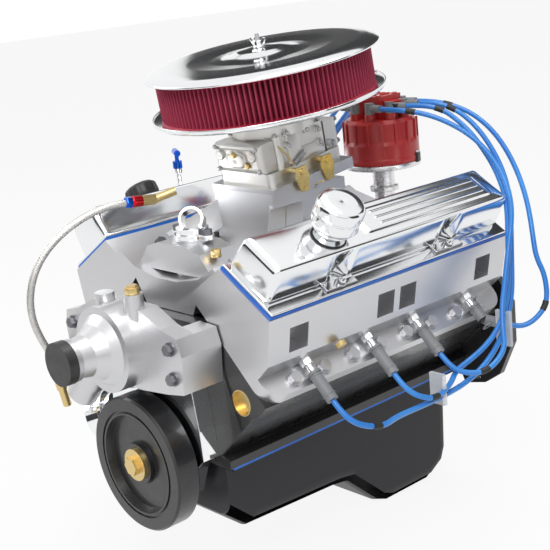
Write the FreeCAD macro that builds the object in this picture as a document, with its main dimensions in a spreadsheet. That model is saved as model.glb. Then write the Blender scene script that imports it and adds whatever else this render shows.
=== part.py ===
import FreeCAD, Part
import math
import os

import Sketcher
from FreeCAD import Placement, Rotation, Vector

# Complete carburetted V8 engine, millimetres.
# +Z is up, the front of the engine faces -Y, and the crankshaft turns about the Y axis.
# The origin is the crankshaft axis at the rear face of the block.
# A "station" is a distance ahead of that rear face, so a station s lies at y = -s.
# A bank has its own axes: u runs along the cylinder bores away from the crankshaft,
# and v runs across the deck, outward from the bore centre line.

# ---------------------------------------------------------------- driving dimensions

SIZES = {
    # cylinders and crank train
    "bore": 102.4,
    "stroke": 88.4,
    "bore_pitch": 111.76,
    "deck_height": 229.2,
    "bank_lag": 22.35,
    "first_bore": 449.0,
    "rod_length": 144.8,
    "pin_height": 39.6,
    "piston_length": 59.0,
    "piston_gap": 0.08,
    "cam_height": 114.8,
    "cam_journal": 47.6,
    "main_journal": 62.2,
    "main_width": 22.0,
    "crank_pin": 53.3,
    "shaft_gap": 0.05,
    "sweep_radius": 77.0,
    "snout_radius": 15.9,
    "crank_flange_radius": 44.5,
    "crank_flange_length": 14.0,
    "crank_flange_pcd": 76.2,
    "pilot_radius": 13.9,
    "pilot_depth": 30.0,
    # block
    "block_length": 531.0,
    "head_length": 494.6,
    "pan_rail": 129.0,
    "deck_outer": 74.0,
    "deck_inner": 62.0,
    "bank_foot": 90.0,
    "bell_width": 224.0,
    "bell_thickness": 11.0,
    "valley_rail": 207.0,
    "core_plug": 38.0,
    "core_plug_height": 107.0,
    # heads
    "head_bolt_pitch": 55.88,
    "port_pitch": 46.0,
    "port_width": 34.0,
    "port_height": 36.0,
    # valve covers
    "cover_height": 66.0,
    "cover_length": 476.0,
    "cover_flange": 4.0,
    "cover_wall": 2.0,
    "cover_gasket": 4.0,
    # front drive
    "timing_cover_depth": 28.0,
    "damper_radius": 101.2,
    "damper_width": 38.0,
    "damper_front": 602.0,
    "pump_height": 183.0,
    "pump_front": 688.0,
    # induction
    "carb_station": 268.0,
    "carb_pad_height": 366.0,
    "carb_tilt": 6.8,
    "carb_height": 92.0,
    "carb_base_height": 20.0,
    "throttle_bore": 43.0,
    "throttle_spacing_x": 47.0,
    "throttle_spacing_y": 57.0,
    "cleaner_radius": 178.0,
    "cleaner_height": 64.9,
    "element_radius": 163.0,
    # ignition
    "distributor_station": 44.0,
    "distributor_radius": 62.0,
    # sump
    "pan_gasket": 3.0,
    "pan_flange": 3.0,
    "pan_depth": 118.0,
    "sump_depth": 196.0,
    "pan_wall": 2.5,
    "wire_diameter": 8.0,
    "hose_diameter": 11.0,
}

ROOT2 = math.sqrt(0.5)
LEFT, RIGHT = 1, -1
BANKS = {"left": LEFT, "right": RIGHT}


class Size:
    """A number together with the spreadsheet expression that gives it."""

    def __init__(self, value, text):
        self.value = float(value)
        self.text = text

    def __float__(self):
        return self.value

    def _join(self, other, sign, value, swap=False):
        mine, theirs = self.text, wording(other)
        if swap:
            mine, theirs = theirs, mine
        return Size(value, "(" + mine + " " + sign + " " + theirs + ")")

    def __add__(self, other):
        return self._join(other, "+", self.value + float(other))

    def __radd__(self, other):
        return self._join(other, "+", float(other) + self.value, swap=True)

    def __sub__(self, other):
        return self._join(other, "-", self.value - float(other))

    def __rsub__(self, other):
        return self._join(other, "-", float(other) - self.value, swap=True)

    def __mul__(self, other):
        return self._join(other, "*", self.value * float(other))

    def __rmul__(self, other):
        return self._join(other, "*", float(other) * self.value, swap=True)

    def __truediv__(self, other):
        return self._join(other, "/", self.value / float(other))

    def __neg__(self):
        return Size(-self.value, "(-1 * " + self.text + ")")


def wording(value):
    """The expression text of a size or of a plain number."""
    return value.text if isinstance(value, Size) else "(" + repr(float(value)) + ")"


class Sheet:
    """The spreadsheet of driving dimensions, read as attributes."""

    def __init__(self, document, sizes):
        cells = document.addObject("Spreadsheet::Sheet", "Sizes")
        for row, (alias, value) in enumerate(sizes.items(), start=1):
            cells.set("A%d" % row, alias)
            cells.set("B%d" % row, str(value))
            cells.setAlias("B%d" % row, alias)
        document.recompute()
        for alias in sizes:
            setattr(self, alias, Size(cells.get(alias), "Sizes." + alias))


DOC = FreeCAD.newDocument("engine")
D = Sheet(DOC, SIZES)
NODES = []


# ---------------------------------------------------------------- modelling helpers


def node(obj, label=None):
    """Register an object as a finished piece."""
    if label:
        obj.Label = label
    NODES.append(obj)
    return obj


def bind(obj, path, size):
    """Give a property its number, and its expression where the sheet drives it."""
    setattr(obj, path, float(size))
    if isinstance(size, Size):
        obj.setExpression(path, size.text)


def place(obj, x=0, y=0, z=0, turn=None):
    """Put an object at a driven position, with a fixed turn."""
    obj.Placement = Placement(Vector(float(x), float(y), float(z)), turn or Rotation())
    for axis, value in zip("xyz", (x, y, z)):
        if isinstance(value, Size):
            obj.setExpression("Placement.Base." + axis, value.text)
    return obj


def body(name):
    return DOC.addObject("PartDesign::Body", name)


def origin_part(owner, role):
    """One of a body's own origin planes or axes."""
    return next(item for item in owner.Origin.OriginFeatures if item.Role == role)


def sketch(owner, name, plane, offset=0, spin=None, shift=(0, 0)):
    """A sketch on one of the body's planes, moved along its normal and turned."""
    made = owner.newObject("Sketcher::SketchObject", name)
    made.AttachmentSupport = [(origin_part(owner, plane), "")]
    made.MapMode = "FlatFace"
    base = Vector(float(shift[0]), float(shift[1]), float(offset))
    made.AttachmentOffset = Placement(base, spin or Rotation())
    for axis, value in zip("xyz", (shift[0], shift[1], offset)):
        if isinstance(value, Size):
            made.setExpression("AttachmentOffset.Base." + axis, value.text)
    return made


def spin_z(degrees):
    return Rotation(Vector(0, 0, 1), degrees)


def spin_y(degrees):
    return Rotation(Vector(0, 1, 0), degrees)


def spin_x(degrees):
    return Rotation(Vector(1, 0, 0), degrees)


def hold(made, entries):
    """Add driven constraints and tie each to its expression."""
    start = made.ConstraintCount
    made.addConstraint([Sketcher.Constraint(*entry[:-1], float(entry[-1])) for entry in entries])
    for step, entry in enumerate(entries):
        if isinstance(entry[-1], Size):
            made.setExpression("Constraints[%d]" % (start + step), entry[-1].text)


def outline(made, corners):
    """A closed outline whose corners are each held by two distances."""
    first = made.GeometryCount
    spots = [Vector(float(x), float(y), 0) for x, y in corners]
    count = len(spots)
    for here, there in zip(spots, spots[1:] + spots[:1]):
        made.addGeometry(Part.LineSegment(here, there), False)
    joins = [Sketcher.Constraint("Coincident", first + i, 2, first + (i + 1) % count, 1) for i in range(count)]
    made.addConstraint(joins)
    entries = []
    for i, (x, y) in enumerate(corners):
        entries.append(("DistanceX", -1, 1, first + i, 1, x))
        entries.append(("DistanceY", -1, 1, first + i, 1, y))
    hold(made, entries)
    return made


def ring(made, x, y, radius):
    """A circle with a driven centre and radius."""
    index = made.addGeometry(Part.Circle(Vector(float(x), float(y), 0), Vector(0, 0, 1), float(radius)), False)
    hold(made, [("DistanceX", -1, 1, index, 3, x), ("DistanceY", -1, 1, index, 3, y), ("Radius", index, radius)])
    return made


def box_outline(made, x, y, width, height):
    """A rectangle about the centre (x, y)."""
    return outline(made, [(x - width / 2, y - height / 2), (x + width / 2, y - height / 2),
                          (x + width / 2, y + height / 2), (x - width / 2, y + height / 2)])


def pad(owner, profile, length, backward=False):
    made = owner.newObject("PartDesign::Pad", profile.Name + "_pad")
    made.Profile = profile
    bind(made, "Length", length)
    made.Reversed = backward
    DOC.recompute()
    return made


def pocket(owner, profile, length, along_normal=False):
    """Cut a profile against its normal, or along it, and check that metal was removed."""
    before = owner.Shape.Volume
    made = owner.newObject("PartDesign::Pocket", profile.Name + "_cut")
    made.Profile = profile
    bind(made, "Length", length)
    made.Reversed = along_normal
    DOC.recompute()
    if not owner.Shape.Volume < before:
        raise ValueError(profile.Name + " cuts nothing")
    return made


def revolve(owner, profile, axis="V_Axis", angle=360):
    made = owner.newObject("PartDesign::Revolution", profile.Name + "_turned")
    made.Profile = profile
    made.ReferenceAxis = (profile, [axis])
    made.Angle = angle
    DOC.recompute()
    return made


def polar(owner, features, axis, count):
    made = owner.newObject("PartDesign::PolarPattern", features[0].Name + "_ring")
    made.Originals = features
    made.Axis = (origin_part(owner, axis), [""])
    made.Angle = 360
    made.Occurrences = count
    owner.Tip = made
    DOC.recompute()
    return made


def linear(owner, features, axis, length, count, backward=False):
    made = owner.newObject("PartDesign::LinearPattern", features[0].Name + "_row")
    made.Originals = features
    made.Direction = (origin_part(owner, axis), [""])
    bind(made, "Length", length)
    made.Occurrences = count
    made.Reversed = backward
    owner.Tip = made
    DOC.recompute()
    return made


def round_edges(owner, radius, wanted):
    """Fillet the edges whose middle point and direction pass a test, where there are any."""
    base = owner.Tip
    names = []
    for number, edge in enumerate(base.Shape.Edges, start=1):
        middle = edge.valueAt((edge.FirstParameter + edge.LastParameter) / 2)
        direction = edge.tangentAt((edge.FirstParameter + edge.LastParameter) / 2)
        if wanted(edge, middle, direction):
            names.append("Edge%d" % number)
    if not names:
        raise ValueError(owner.Name + " has no edge to round")
    made = owner.newObject("PartDesign::Fillet", base.Name + "_round")
    made.Base = (base, names)
    bind(made, "Radius", radius)
    DOC.recompute()
    return made


def along(direction, axis):
    """Whether a direction is parallel to a named axis."""
    return abs(getattr(direction, axis)) > 0.999


def group(label, shapes):
    """Identical or matching loose pieces held in one node as separate solids."""
    made = DOC.addObject("Part::Feature", label)
    made.Shape = Part.makeCompound(shapes)
    return node(made, label)


def moved(shape, x=0, y=0, z=0, turn=None):
    """A copy of a shape, turned about the origin and then shifted."""
    copy = shape.copy()
    copy.Placement = Placement(Vector(float(x), float(y), float(z)), turn or Rotation())
    return copy


def rod(radius, length, start=(0, 0, 0), direction=(0, 0, 1)):
    """A plain cylinder from a start point along a direction."""
    return Part.makeCylinder(float(radius), float(length), Vector(*map(float, start)), Vector(*direction))


def prism(points, depth, direction=(0, 0, 1)):
    """A solid made from a closed flat outline pushed along a direction."""
    corners = [Vector(*map(float, point)) for point in points]
    face = Part.Face(Part.makePolygon(corners + corners[:1]))
    return face.extrude(Vector(*direction).normalize() * float(depth))


def turned(profile, axis=(0, 0, 1)):
    """A solid of revolution about Z from (radius, height) points, laid along an axis."""
    corners = [Vector(float(radius), 0, float(height)) for radius, height in profile]
    face = Part.Face(Part.makePolygon(corners + corners[:1]))
    solid = face.revolve(Vector(), Vector(0, 0, 1), 360)
    solid.Placement = Placement(Vector(), Rotation(Vector(0, 0, 1), Vector(*axis)))
    return solid


def hexagon(across, height):
    """A hexagonal prism standing on the origin."""
    corner = float(across) / math.sqrt(3)
    spots = [(corner * math.cos(math.radians(60 * i)), corner * math.sin(math.radians(60 * i)), 0) for i in range(6)]
    return prism(spots, height)


def bolt(across=14.0, head=7.0, shank=9.0, length=20.0):
    """A hexagon bolt whose head seats at z = 0 and whose shank hangs below."""
    return hexagon(across, head).fuse(rod(shank / 2, length, (0, 0, -length)))


def bank_turn(side):
    """The turn that lays the Z axis along a bank's bores."""
    return spin_y(45 * side)


def bank_point(side, u, v, y):
    """A point given in a bank's own axes."""
    return ((u + v) * (ROOT2 * side), y, (u - v) * ROOT2)


def bank_sketch(owner, name, side, u):
    """A sketch square to a bank's bores; x runs outward times side, y runs rearward."""
    lift = u * ROOT2
    made = sketch(owner, name, "XY_Plane", spin=bank_turn(side))
    made.AttachmentOffset = Placement(Vector(float(lift) * side, 0, float(lift)), bank_turn(side))
    if isinstance(u, Size):
        made.setExpression("AttachmentOffset.Base.x", (lift * side).text)
        made.setExpression("AttachmentOffset.Base.z", lift.text)
    return made


def lag(side):
    """How far a bank sits behind the left one."""
    return D.bank_lag if side == RIGHT else 0.0


def bore_station(side, number):
    """Distance of a cylinder centre ahead of the rear face, front cylinder first."""
    return D.first_bore - lag(side) - D.bore_pitch * number


def bank_rear(side):
    """Station of a head's rear end; the head is centred on its four cylinders."""
    return D.first_bore - D.bore_pitch * 1.5 - D.head_length / 2 - lag(side)


def main_station(number):
    """Distance of a main bearing ahead of the rear face, rear bearing first."""
    middle = D.first_bore - D.bank_lag / 2
    return middle + D.bore_pitch * (number - 3.5)


# ---------------------------------------------------------------- block and crank train


def valve_stations(side):
    """Stations of the eight valves of a bank in the order exhaust, inlet, inlet, exhaust."""
    pairs = [(24, -23), (23, -24), (24, -23), (23, -24)]
    return [bore_station(side, number) + step for number, pair in enumerate(pairs) for step in pair]


# Lifters lie on the line from the camshaft parallel to the bores.
CAM_V = -(D.cam_height * ROOT2)
CAM_U = D.cam_height * ROOT2
LIFTER_RADIUS = 10.7
LIFTER_FOOT = 23.0
LIFTER_LENGTH = 46.0


def make_block():
    block = body("engine_block")
    rail = D.pan_rail
    middle = sketch(block, "crankcase", "XZ_Plane")
    right_half = [(rail, 0), (rail, 12), (112, 17), (160, 65), (117, D.valley_rail)]
    left_half = [(-x, z) for x, z in reversed(right_half)]
    outline(middle, right_half + left_half)
    pad(block, middle, D.block_length)
    for name, side in BANKS.items():
        bank = sketch(block, name + "_bank", "XZ_Plane", offset=bank_rear(side), spin=spin_z(-45 * side))
        corners = [(-D.deck_inner, D.bank_foot), (-D.deck_inner, D.deck_height), (D.deck_outer, D.deck_height),
                   (D.deck_outer, D.deck_height - 24), (D.deck_outer - 6, D.deck_height - 34),
                   (D.deck_outer - 6, D.bank_foot)]
        outline(bank, [(v * side, u) for v, u in corners])
        pad(block, bank, D.head_length)
    bell = sketch(block, "bell_flange", "XZ_Plane")
    half = D.bell_width
    right_half = [(104, 0), (123, -38), (165, -29), (half - 28, -8), (half, 51), (half, 118), (190, 172), (117, 222)]
    outline(bell, right_half + [(-x, z) for x, z in reversed(right_half)])
    pad(block, bell, D.bell_thickness)
    cut_crankcase(block)
    cut_banks(block)
    cut_bell_face(block)
    return node(block)


def cut_crankcase(block):
    """The five bulkheads stay between four open bays; shafts run through all of them."""
    bay = sketch(block, "bay", "XZ_Plane", offset=main_station(0) + D.main_width / 2 - 1)
    half = D.pan_rail - 26
    roof = D.sweep_radius + 8
    outline(bay, [(-half, -60), (-half, 34), (-45, roof), (45, roof), (half, 34), (half, -60)])
    cut = pocket(block, bay, D.bore_pitch - D.main_width + 2, along_normal=True)
    linear(block, [cut], "Y_Axis", D.bore_pitch * 3, 4, backward=True)
    shafts = sketch(block, "shaft_tunnels", "XZ_Plane")
    ring(shafts, 0, 0, D.main_journal / 2 + D.shaft_gap)
    ring(shafts, 0, D.cam_height, D.cam_journal / 2 + D.shaft_gap)
    pocket(block, shafts, D.block_length + 1, along_normal=True)
    seal = sketch(block, "rear_seal", "XZ_Plane")
    ring(seal, 0, 0, D.crank_flange_radius + 1)
    pocket(block, seal, main_station(0) - D.main_width / 2, along_normal=True)
    valley = sketch(block, "valley", "XZ_Plane", offset=26)
    edge = D.valley_rail
    wall = D.deck_inner / ROOT2
    outline(valley, [(0, 198), (55, 143), (edge - wall, edge), (edge - wall, edge + 20),
                     (wall - edge, edge + 20), (wall - edge, edge), (-55, 143)])
    pocket(block, valley, D.block_length - 50, along_normal=True)


def cut_banks(block):
    """Cylinder bores, lifter bores and core plug holes."""
    for name, side in BANKS.items():
        bores = bank_sketch(block, name + "_bores", side, D.deck_height)
        for number in range(4):
            ring(bores, 0, -bore_station(side, number), D.bore / 2)
        pocket(block, bores, D.deck_height - 60)
        lifters = bank_sketch(block, name + "_lifter_bores", side, CAM_U + 70)
        for station in valve_stations(side):
            ring(lifters, CAM_V * side, -station, LIFTER_RADIUS + D.shaft_gap)
        pocket(block, lifters, 56)
        plug = sketch(block, name + "_core_hole", "XZ_Plane", offset=bank_rear(side) + D.head_length)
        ring(plug, 165 * side, D.core_plug_height, D.core_plug / 2)
        pocket(block, plug, 12)


def cut_bell_face(block):
    """Six threaded holes for the bell housing."""
    holes = sketch(block, "bell_holes", "XZ_Plane")
    for side in (LEFT, RIGHT):
        for x, z in ((93, 183), (205, 62), (150, -24)):
            ring(holes, x * side, z, 5.5)
    pocket(block, holes, D.bell_thickness, along_normal=True)


def make_caps():
    """Five main bearing caps, each held by two bolts."""
    half, drop = 76.0, 56.0
    width = float(D.main_width) - 2
    radius = float(D.main_journal / 2 + D.shaft_gap)
    corners = [(-half, 0, 0), (half, 0, 0), (half, 0, -26), (44, 0, -drop), (-44, 0, -drop), (-half, 0, -26)]
    shapes = []
    for number in range(5):
        front = -float(main_station(number)) - width / 2
        cap = moved(prism(corners, width, (0, 1, 0)), y=front)
        cap = cap.cut(rod(radius, width + 2, (0, front - 1, 0), (0, 1, 0)))
        shapes.append(cap)
        for x in (-60, 60):
            shapes.append(moved(hexagon(17, 10), x, front + width / 2, -52, spin_x(180)))
    return group("main_caps", shapes)


def make_crankshaft():
    """Main journals, four throws at ninety degrees, rear flange and front snout."""
    crank = body("crankshaft")
    main_r = D.main_journal / 2
    pin_r = D.crank_pin / 2
    throw = D.stroke / 2
    cheek = (D.bore_pitch - D.main_width - 49) / 2
    rear = main_station(0) - D.main_width / 2
    flange = sketch(crank, "rear_flange", "XZ_Plane")
    ring(flange, 0, 0, D.crank_flange_radius)
    pad(crank, flange, D.crank_flange_length)
    neck = sketch(crank, "rear_neck", "XZ_Plane", offset=D.crank_flange_length)
    ring(neck, 0, 0, main_r)
    pad(crank, neck, rear - D.crank_flange_length + D.main_width)
    for number, angle in enumerate((225, 135, -45, 45)):
        start = main_station(number) + D.main_width / 2
        for part, offset in (("rear", start), ("front", start + cheek + 49)):
            web = sketch(crank, "web_%s_%d" % (part, number), "XZ_Plane", offset=offset, spin=spin_z(angle))
            outline(web, cheek_outline())
            pad(crank, web, cheek)
        pin = sketch(crank, "pin_%d" % number, "XZ_Plane", offset=start + cheek, spin=spin_z(angle))
        ring(pin, throw, 0, pin_r)
        pad(crank, pin, 49)
        journal = sketch(crank, "journal_%d" % number, "XZ_Plane", offset=start + cheek * 2 + 49)
        ring(journal, 0, 0, main_r)
        pad(crank, journal, D.main_width)
    snout = sketch(crank, "snout", "XZ_Plane", offset=main_station(4) + D.main_width / 2)
    ring(snout, 0, 0, D.snout_radius)
    pad(crank, snout, D.damper_front - 8 - main_station(4) - D.main_width / 2)
    pilot = sketch(crank, "pilot_bore", "XZ_Plane")
    ring(pilot, 0, 0, D.pilot_radius)
    pocket(crank, pilot, D.pilot_depth, along_normal=True)
    holes = sketch(crank, "flange_hole", "XZ_Plane")
    ring(holes, D.crank_flange_pcd / 2, 0, 5.6)
    first = pocket(crank, holes, D.crank_flange_length, along_normal=True)
    polar(crank, [first], "Y_Axis", 6)
    return node(crank)


def cheek_outline():
    """A crank web: narrow round the pin, a broad balance weight opposite."""
    tip = D.sweep_radius - 3
    weight = D.sweep_radius
    rim = [(weight * math.cos(math.radians(a)), weight * math.sin(math.radians(a)))
           for a in (120, 145, 170, 190, 215, 240)]
    return [(tip, -14), (tip, 14), (tip - 14, 30), (0, 36)] + rim + [(0, -36), (tip - 14, -30)]


SPROCKET_BACK = 537.0
SPROCKET_WIDTH = 8.0
CHAIN_PITCH = 9.525
CAM_CORE = 14.0


def make_camshaft():
    """Five journals with sixteen lobes between them."""
    height = float(D.cam_height)
    journal = float(D.cam_journal / 2)
    nose = SPROCKET_BACK + SPROCKET_WIDTH
    shaft = rod(CAM_CORE, nose - 26, (0, -nose, height), (0, 1, 0))
    solids = []
    for number in range(5):
        front = -float(main_station(number)) - 10
        solids.append(rod(journal, 20, (0, front, height), (0, 1, 0)))
    for side in (LEFT, RIGHT):
        for number, station in enumerate(valve_stations(side)):
            angle = math.radians(137 * number + 61 * side)
            shift = (5.5 * math.cos(angle), -float(station) - 6.5, height + 5.5 * math.sin(angle))
            solids.append(rod(15.5, 13, shift, (0, 1, 0)))
    made = DOC.addObject("Part::Feature", "camshaft")
    made.Shape = shaft.multiFuse(solids).removeSplitter()
    return node(made)


def make_sprocket(label, teeth, height, bore_radius):
    """A chain sprocket: one tooth repeated round a hub."""
    wheel = body(label)
    pitch_radius = CHAIN_PITCH / (2 * math.sin(math.pi / teeth))
    root = pitch_radius - 2.8
    disc = sketch(wheel, label + "_disc", "XZ_Plane")
    ring(disc, 0, 0, root)
    ring(disc, 0, 0, bore_radius)
    pad(wheel, disc, SPROCKET_WIDTH)
    tooth = sketch(wheel, label + "_tooth", "XZ_Plane")
    outline(tooth, [(root - 1, -2.4), (root - 1, 2.4), (pitch_radius + 2.8, 1.0), (pitch_radius + 2.8, -1.0)])
    single = pad(wheel, tooth, SPROCKET_WIDTH)
    polar(wheel, [single], "Y_Axis", teeth)
    place(wheel, 0, -SPROCKET_BACK, height)
    return node(wheel)


def loop_face(small, big, height, y):
    """The flat face inside a belt round two circles, the lower one at the origin."""
    tilt = math.asin((big - small) / height)
    cos, sin = math.cos(tilt), math.sin(tilt)
    low_right = Vector(small * cos, y, -small * sin)
    high_right = Vector(big * cos, y, height - big * sin)
    low_left = Vector(-low_right.x, y, low_right.z)
    high_left = Vector(-high_right.x, y, high_right.z)
    edges = [Part.LineSegment(low_right, high_right).toShape(),
             Part.Arc(high_right, Vector(0, y, height + big), high_left).toShape(),
             Part.LineSegment(high_left, low_left).toShape(),
             Part.Arc(low_left, Vector(0, y, -small), low_right).toShape()]
    return Part.Face(Part.Wire(edges))


def make_timing():
    make_sprocket("crank_sprocket", 21, 0, D.snout_radius + 0.02)
    make_sprocket("cam_sprocket", 42, D.cam_height, CAM_CORE + 0.02)
    tips = [CHAIN_PITCH / (2 * math.sin(math.pi / teeth)) + 3.2 for teeth in (21, 42)]
    y = -(SPROCKET_BACK + SPROCKET_WIDTH)
    height = float(D.cam_height)
    band = loop_face(tips[0] + 5.5, tips[1] + 5.5, height, y).cut(loop_face(tips[0], tips[1], height, y))
    chain = DOC.addObject("Part::Feature", "timing_chain")
    chain.Shape = band.extrude(Vector(0, SPROCKET_WIDTH, 0))
    node(chain)


def make_timing_cover():
    """A pressed cover over the chain, open to the rear, with a seal boss."""
    cover = body("timing_cover")
    front = D.block_length
    shell = sketch(cover, "cover_shell", "XZ_Plane", offset=front)
    corners = [(60, -50), (78, -8), (106, 16), (104, 60), (94, 140), (66, 192), (22, 206)]
    outline(shell, corners + [(-x, z) for x, z in reversed(corners)])
    pad(cover, shell, D.timing_cover_depth)
    inside = sketch(cover, "cover_inside", "XZ_Plane", offset=front)
    corners = [(44, -45), (60, -10), (74, 20), (78, 60), (86, 120), (60, 178), (20, 196)]
    outline(inside, corners + [(-x, z) for x, z in reversed(corners)])
    pocket(cover, inside, D.timing_cover_depth - 2, along_normal=True)
    boss = sketch(cover, "seal_boss", "XZ_Plane", offset=front + 18)
    ring(boss, 0, 0, 46)
    pad(cover, boss, D.timing_cover_depth - 16)
    hub = sketch(cover, "hub_hole", "XZ_Plane", offset=front)
    ring(hub, 0, 0, 26.5)
    pocket(cover, hub, D.timing_cover_depth + 5, along_normal=True)
    return node(cover)


def make_damper():
    """Hub, rubber groove and outer ring, turned in one profile."""
    damper = body("damper")
    r, w = D.damper_radius, D.damper_width
    profile = sketch(damper, "damper_profile", "YZ_Plane")
    back = -(D.damper_front - w)
    front = -D.damper_front
    bore = D.snout_radius + 0.02
    hub = -(SPROCKET_BACK + SPROCKET_WIDTH + 0.5)
    outline(profile, [(hub, bore), (hub, 26), (back - 2, 26), (back - 2, 40), (back - 10, 48), (back - 10, 74),
                      (back, 78), (back, r - 3), (back - 3, r), (front + 3, r), (front, r - 3), (front, r - 20),
                      (front + 3, r - 20), (front + 3, r - 24), (front, r - 24), (front, 74), (front + 12, 70),
                      (front + 12, 32), (front + 4, 30), (front + 4, bore)])
    revolve(damper, profile, "H_Axis")
    node(damper)
    fixing = DOC.addObject("Part::Feature", "damper_bolt")
    washer = rod(24, 6, (0, -float(D.damper_front) + 4 - 6, 0), (0, 1, 0))
    head = moved(hexagon(24, 8), y=-float(D.damper_front) - 2, turn=spin_x(90))
    fixing.Shape = washer.fuse(head)
    node(fixing)


def make_pistons():
    """Eight pistons at their places with the front left one at top dead centre."""
    throws = (45, -45, 135, 225)
    half = float(D.stroke / 2)
    rod_length = float(D.rod_length)
    for side in (LEFT, RIGHT):
        for number, throw in enumerate(throws):
            lean = math.radians(throw - (45 if side == LEFT else 135))
            pin = half * math.cos(lean) + math.sqrt(rod_length ** 2 - (half * math.sin(lean)) ** 2)
            label = "piston_%d" % (2 * number + (1 if side == LEFT else 2))
            piston = body(label)
            make_piston(piston, label)
            x, y, z = bank_point(side, pin, 0, -bore_station(side, number))
            place(piston, x, y, z, bank_turn(side))
            node(piston)


def make_piston(piston, label):
    """A crown with ring grooves over an open skirt."""
    r = D.bore / 2 - D.piston_gap
    top = D.pin_height
    base = top - D.piston_length
    profile = sketch(piston, label + "_profile", "XZ_Plane")
    outline(profile, [(0, top), (r - 1, top), (r, top - 1), (r, top - 6), (r - 4, top - 6), (r - 4, top - 8), (r, top - 8),
                      (r, base), (r - 4, base), (r - 6, top - 12), (0, top - 12)])
    revolve(piston, profile)


make_block()
make_caps()
make_crankshaft()
make_camshaft()
make_timing()
make_timing_cover()
make_damper()
make_pistons()


# ---------------------------------------------------------------- heads and valve gear

# The head's section, x outward across the deck and z away from the deck.
INLET_FOOT = (-120.0, 0.0)
RAIL_INNER = (-102.5, 82.6)
RAIL_OUTER = (3.5, 106.7)
FACE_FOOT = (40.7, 51.9)
PLUG_FACE_X = 40.0
LEDGE_HEIGHT = 21.0
RAIL_TILT = math.degrees(math.atan2(RAIL_OUTER[1] - RAIL_INNER[1], RAIL_OUTER[0] - RAIL_INNER[0]))
PORT_TILT = math.degrees(math.atan2(RAIL_OUTER[0] - FACE_FOOT[0], RAIL_OUTER[1] - FACE_FOOT[1])) + 90
INLET_TILT = math.degrees(math.atan2(RAIL_INNER[0] - INLET_FOOT[0], RAIL_INNER[1] - INLET_FOOT[1]))
VALVE_TILT = 23.0
VALVE_RADII = {"exhaust": 20.3, "inlet": 25.4}
STEM_RADIUS = 4.3
SPRING_SEAT = 68.0
SPRING_LENGTH = 40.0
PLUG_LIFT = 33.0
PLUG_OUTER = 170.0
PLUG_INNER = 49.5
HEAD_BOLT_ROWS = ((58.0, 8, 1.0), (-59.0, 5, 2.0))
COVER_BOLT_X = 98.0


def head_turn(side):
    """The head's own axes: x outward across the deck, z along the bores."""
    return spin_y(45) if side == LEFT else spin_z(180).multiply(spin_y(45))


def head_middle(side):
    """Station of the middle of a head."""
    return bank_rear(side) + D.head_length / 2


def head_frame(side):
    """The head's placement as a matrix for loose shapes."""
    spot = bank_point(side, float(D.deck_height), 0, -float(head_middle(side)))
    return Placement(Vector(*spot), head_turn(side))


def on_head(side, shape):
    """A shape modelled in head axes, laid on its bank."""
    copy = shape.copy()
    copy.Placement = head_frame(side).multiply(shape.Placement)
    return copy


def head_valves():
    """Kind and distance along the head of its eight valves."""
    kinds = ("exhaust", "inlet", "inlet", "exhaust") * 2
    steps = (24, -23, 23, -24) * 2
    return [(kind, -(float(D.bore_pitch) * (1.5 - i // 2) + step))
            for i, (kind, step) in enumerate(zip(kinds, steps))]


def tilted_sketch(owner, name, x, z, tilt):
    """A sketch whose normal leans from +Z towards +X by a tilt; its y runs along the head."""
    made = sketch(owner, name, "XY_Plane")
    made.AttachmentOffset = Placement(Vector(x, 0, z), spin_y(tilt))
    return made


def make_head(label, side):
    head = body(label)
    half = D.head_length / 2
    section = sketch(head, label + "_section", "XZ_Plane", offset=-half)
    outline(section, [INLET_FOOT, RAIL_INNER, RAIL_OUTER, FACE_FOOT, (PLUG_FACE_X, LEDGE_HEIGHT),
                      (D.deck_outer, LEDGE_HEIGHT), (D.deck_outer, 0)])
    pad(head, section, D.head_length)
    round_edges(head, 30, lambda edge, spot, way: along(way, "z") and spot.x > float(D.deck_outer) - 1)
    cavity = sketch(head, label + "_rocker_cavity", "XZ_Plane", offset=12 - half)
    outline(cavity, [(-94, 120), (-93, 66), (-8, 66), (-8, 120)])
    pocket(head, cavity, D.head_length - 24, along_normal=True)
    cut_head_valves(head, label)
    cut_head_ports(head, label)
    turn = head_turn(side)
    x, y, z = bank_point(side, D.deck_height, 0, -head_middle(side))
    place(head, x, y, z, turn)
    return node(head)


def cut_head_valves(head, label):
    """Chambers, valve guides and spring seats, all square to the leaning valves."""
    chambers = sketch(head, label + "_chambers", "XY_Plane")
    for number in range(4):
        ring(chambers, 4, D.bore_pitch * (number - 1.5), D.bore / 2 - 8)
    pocket(head, chambers, 8, along_normal=True)
    throats = tilted_sketch(head, label + "_throats", 0, 0, -VALVE_TILT)
    guides = tilted_sketch(head, label + "_guides", 0, 0, -VALVE_TILT)
    seats = tilted_sketch(head, label + "_seats", -SPRING_SEAT * math.sin(math.radians(VALVE_TILT)),
                          SPRING_SEAT * math.cos(math.radians(VALVE_TILT)), -VALVE_TILT)
    for kind, y in head_valves():
        ring(throats, 6, y, VALVE_RADII[kind] - 3.0 if kind == "inlet" else VALVE_RADII[kind])
        ring(guides, 6, y, STEM_RADIUS + D.shaft_gap)
        ring(seats, 6, y, 17.5)
    pocket(head, throats, 18, along_normal=True)
    pocket(head, guides, 100, along_normal=True)
    pocket(head, seats, 60, along_normal=True)


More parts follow.
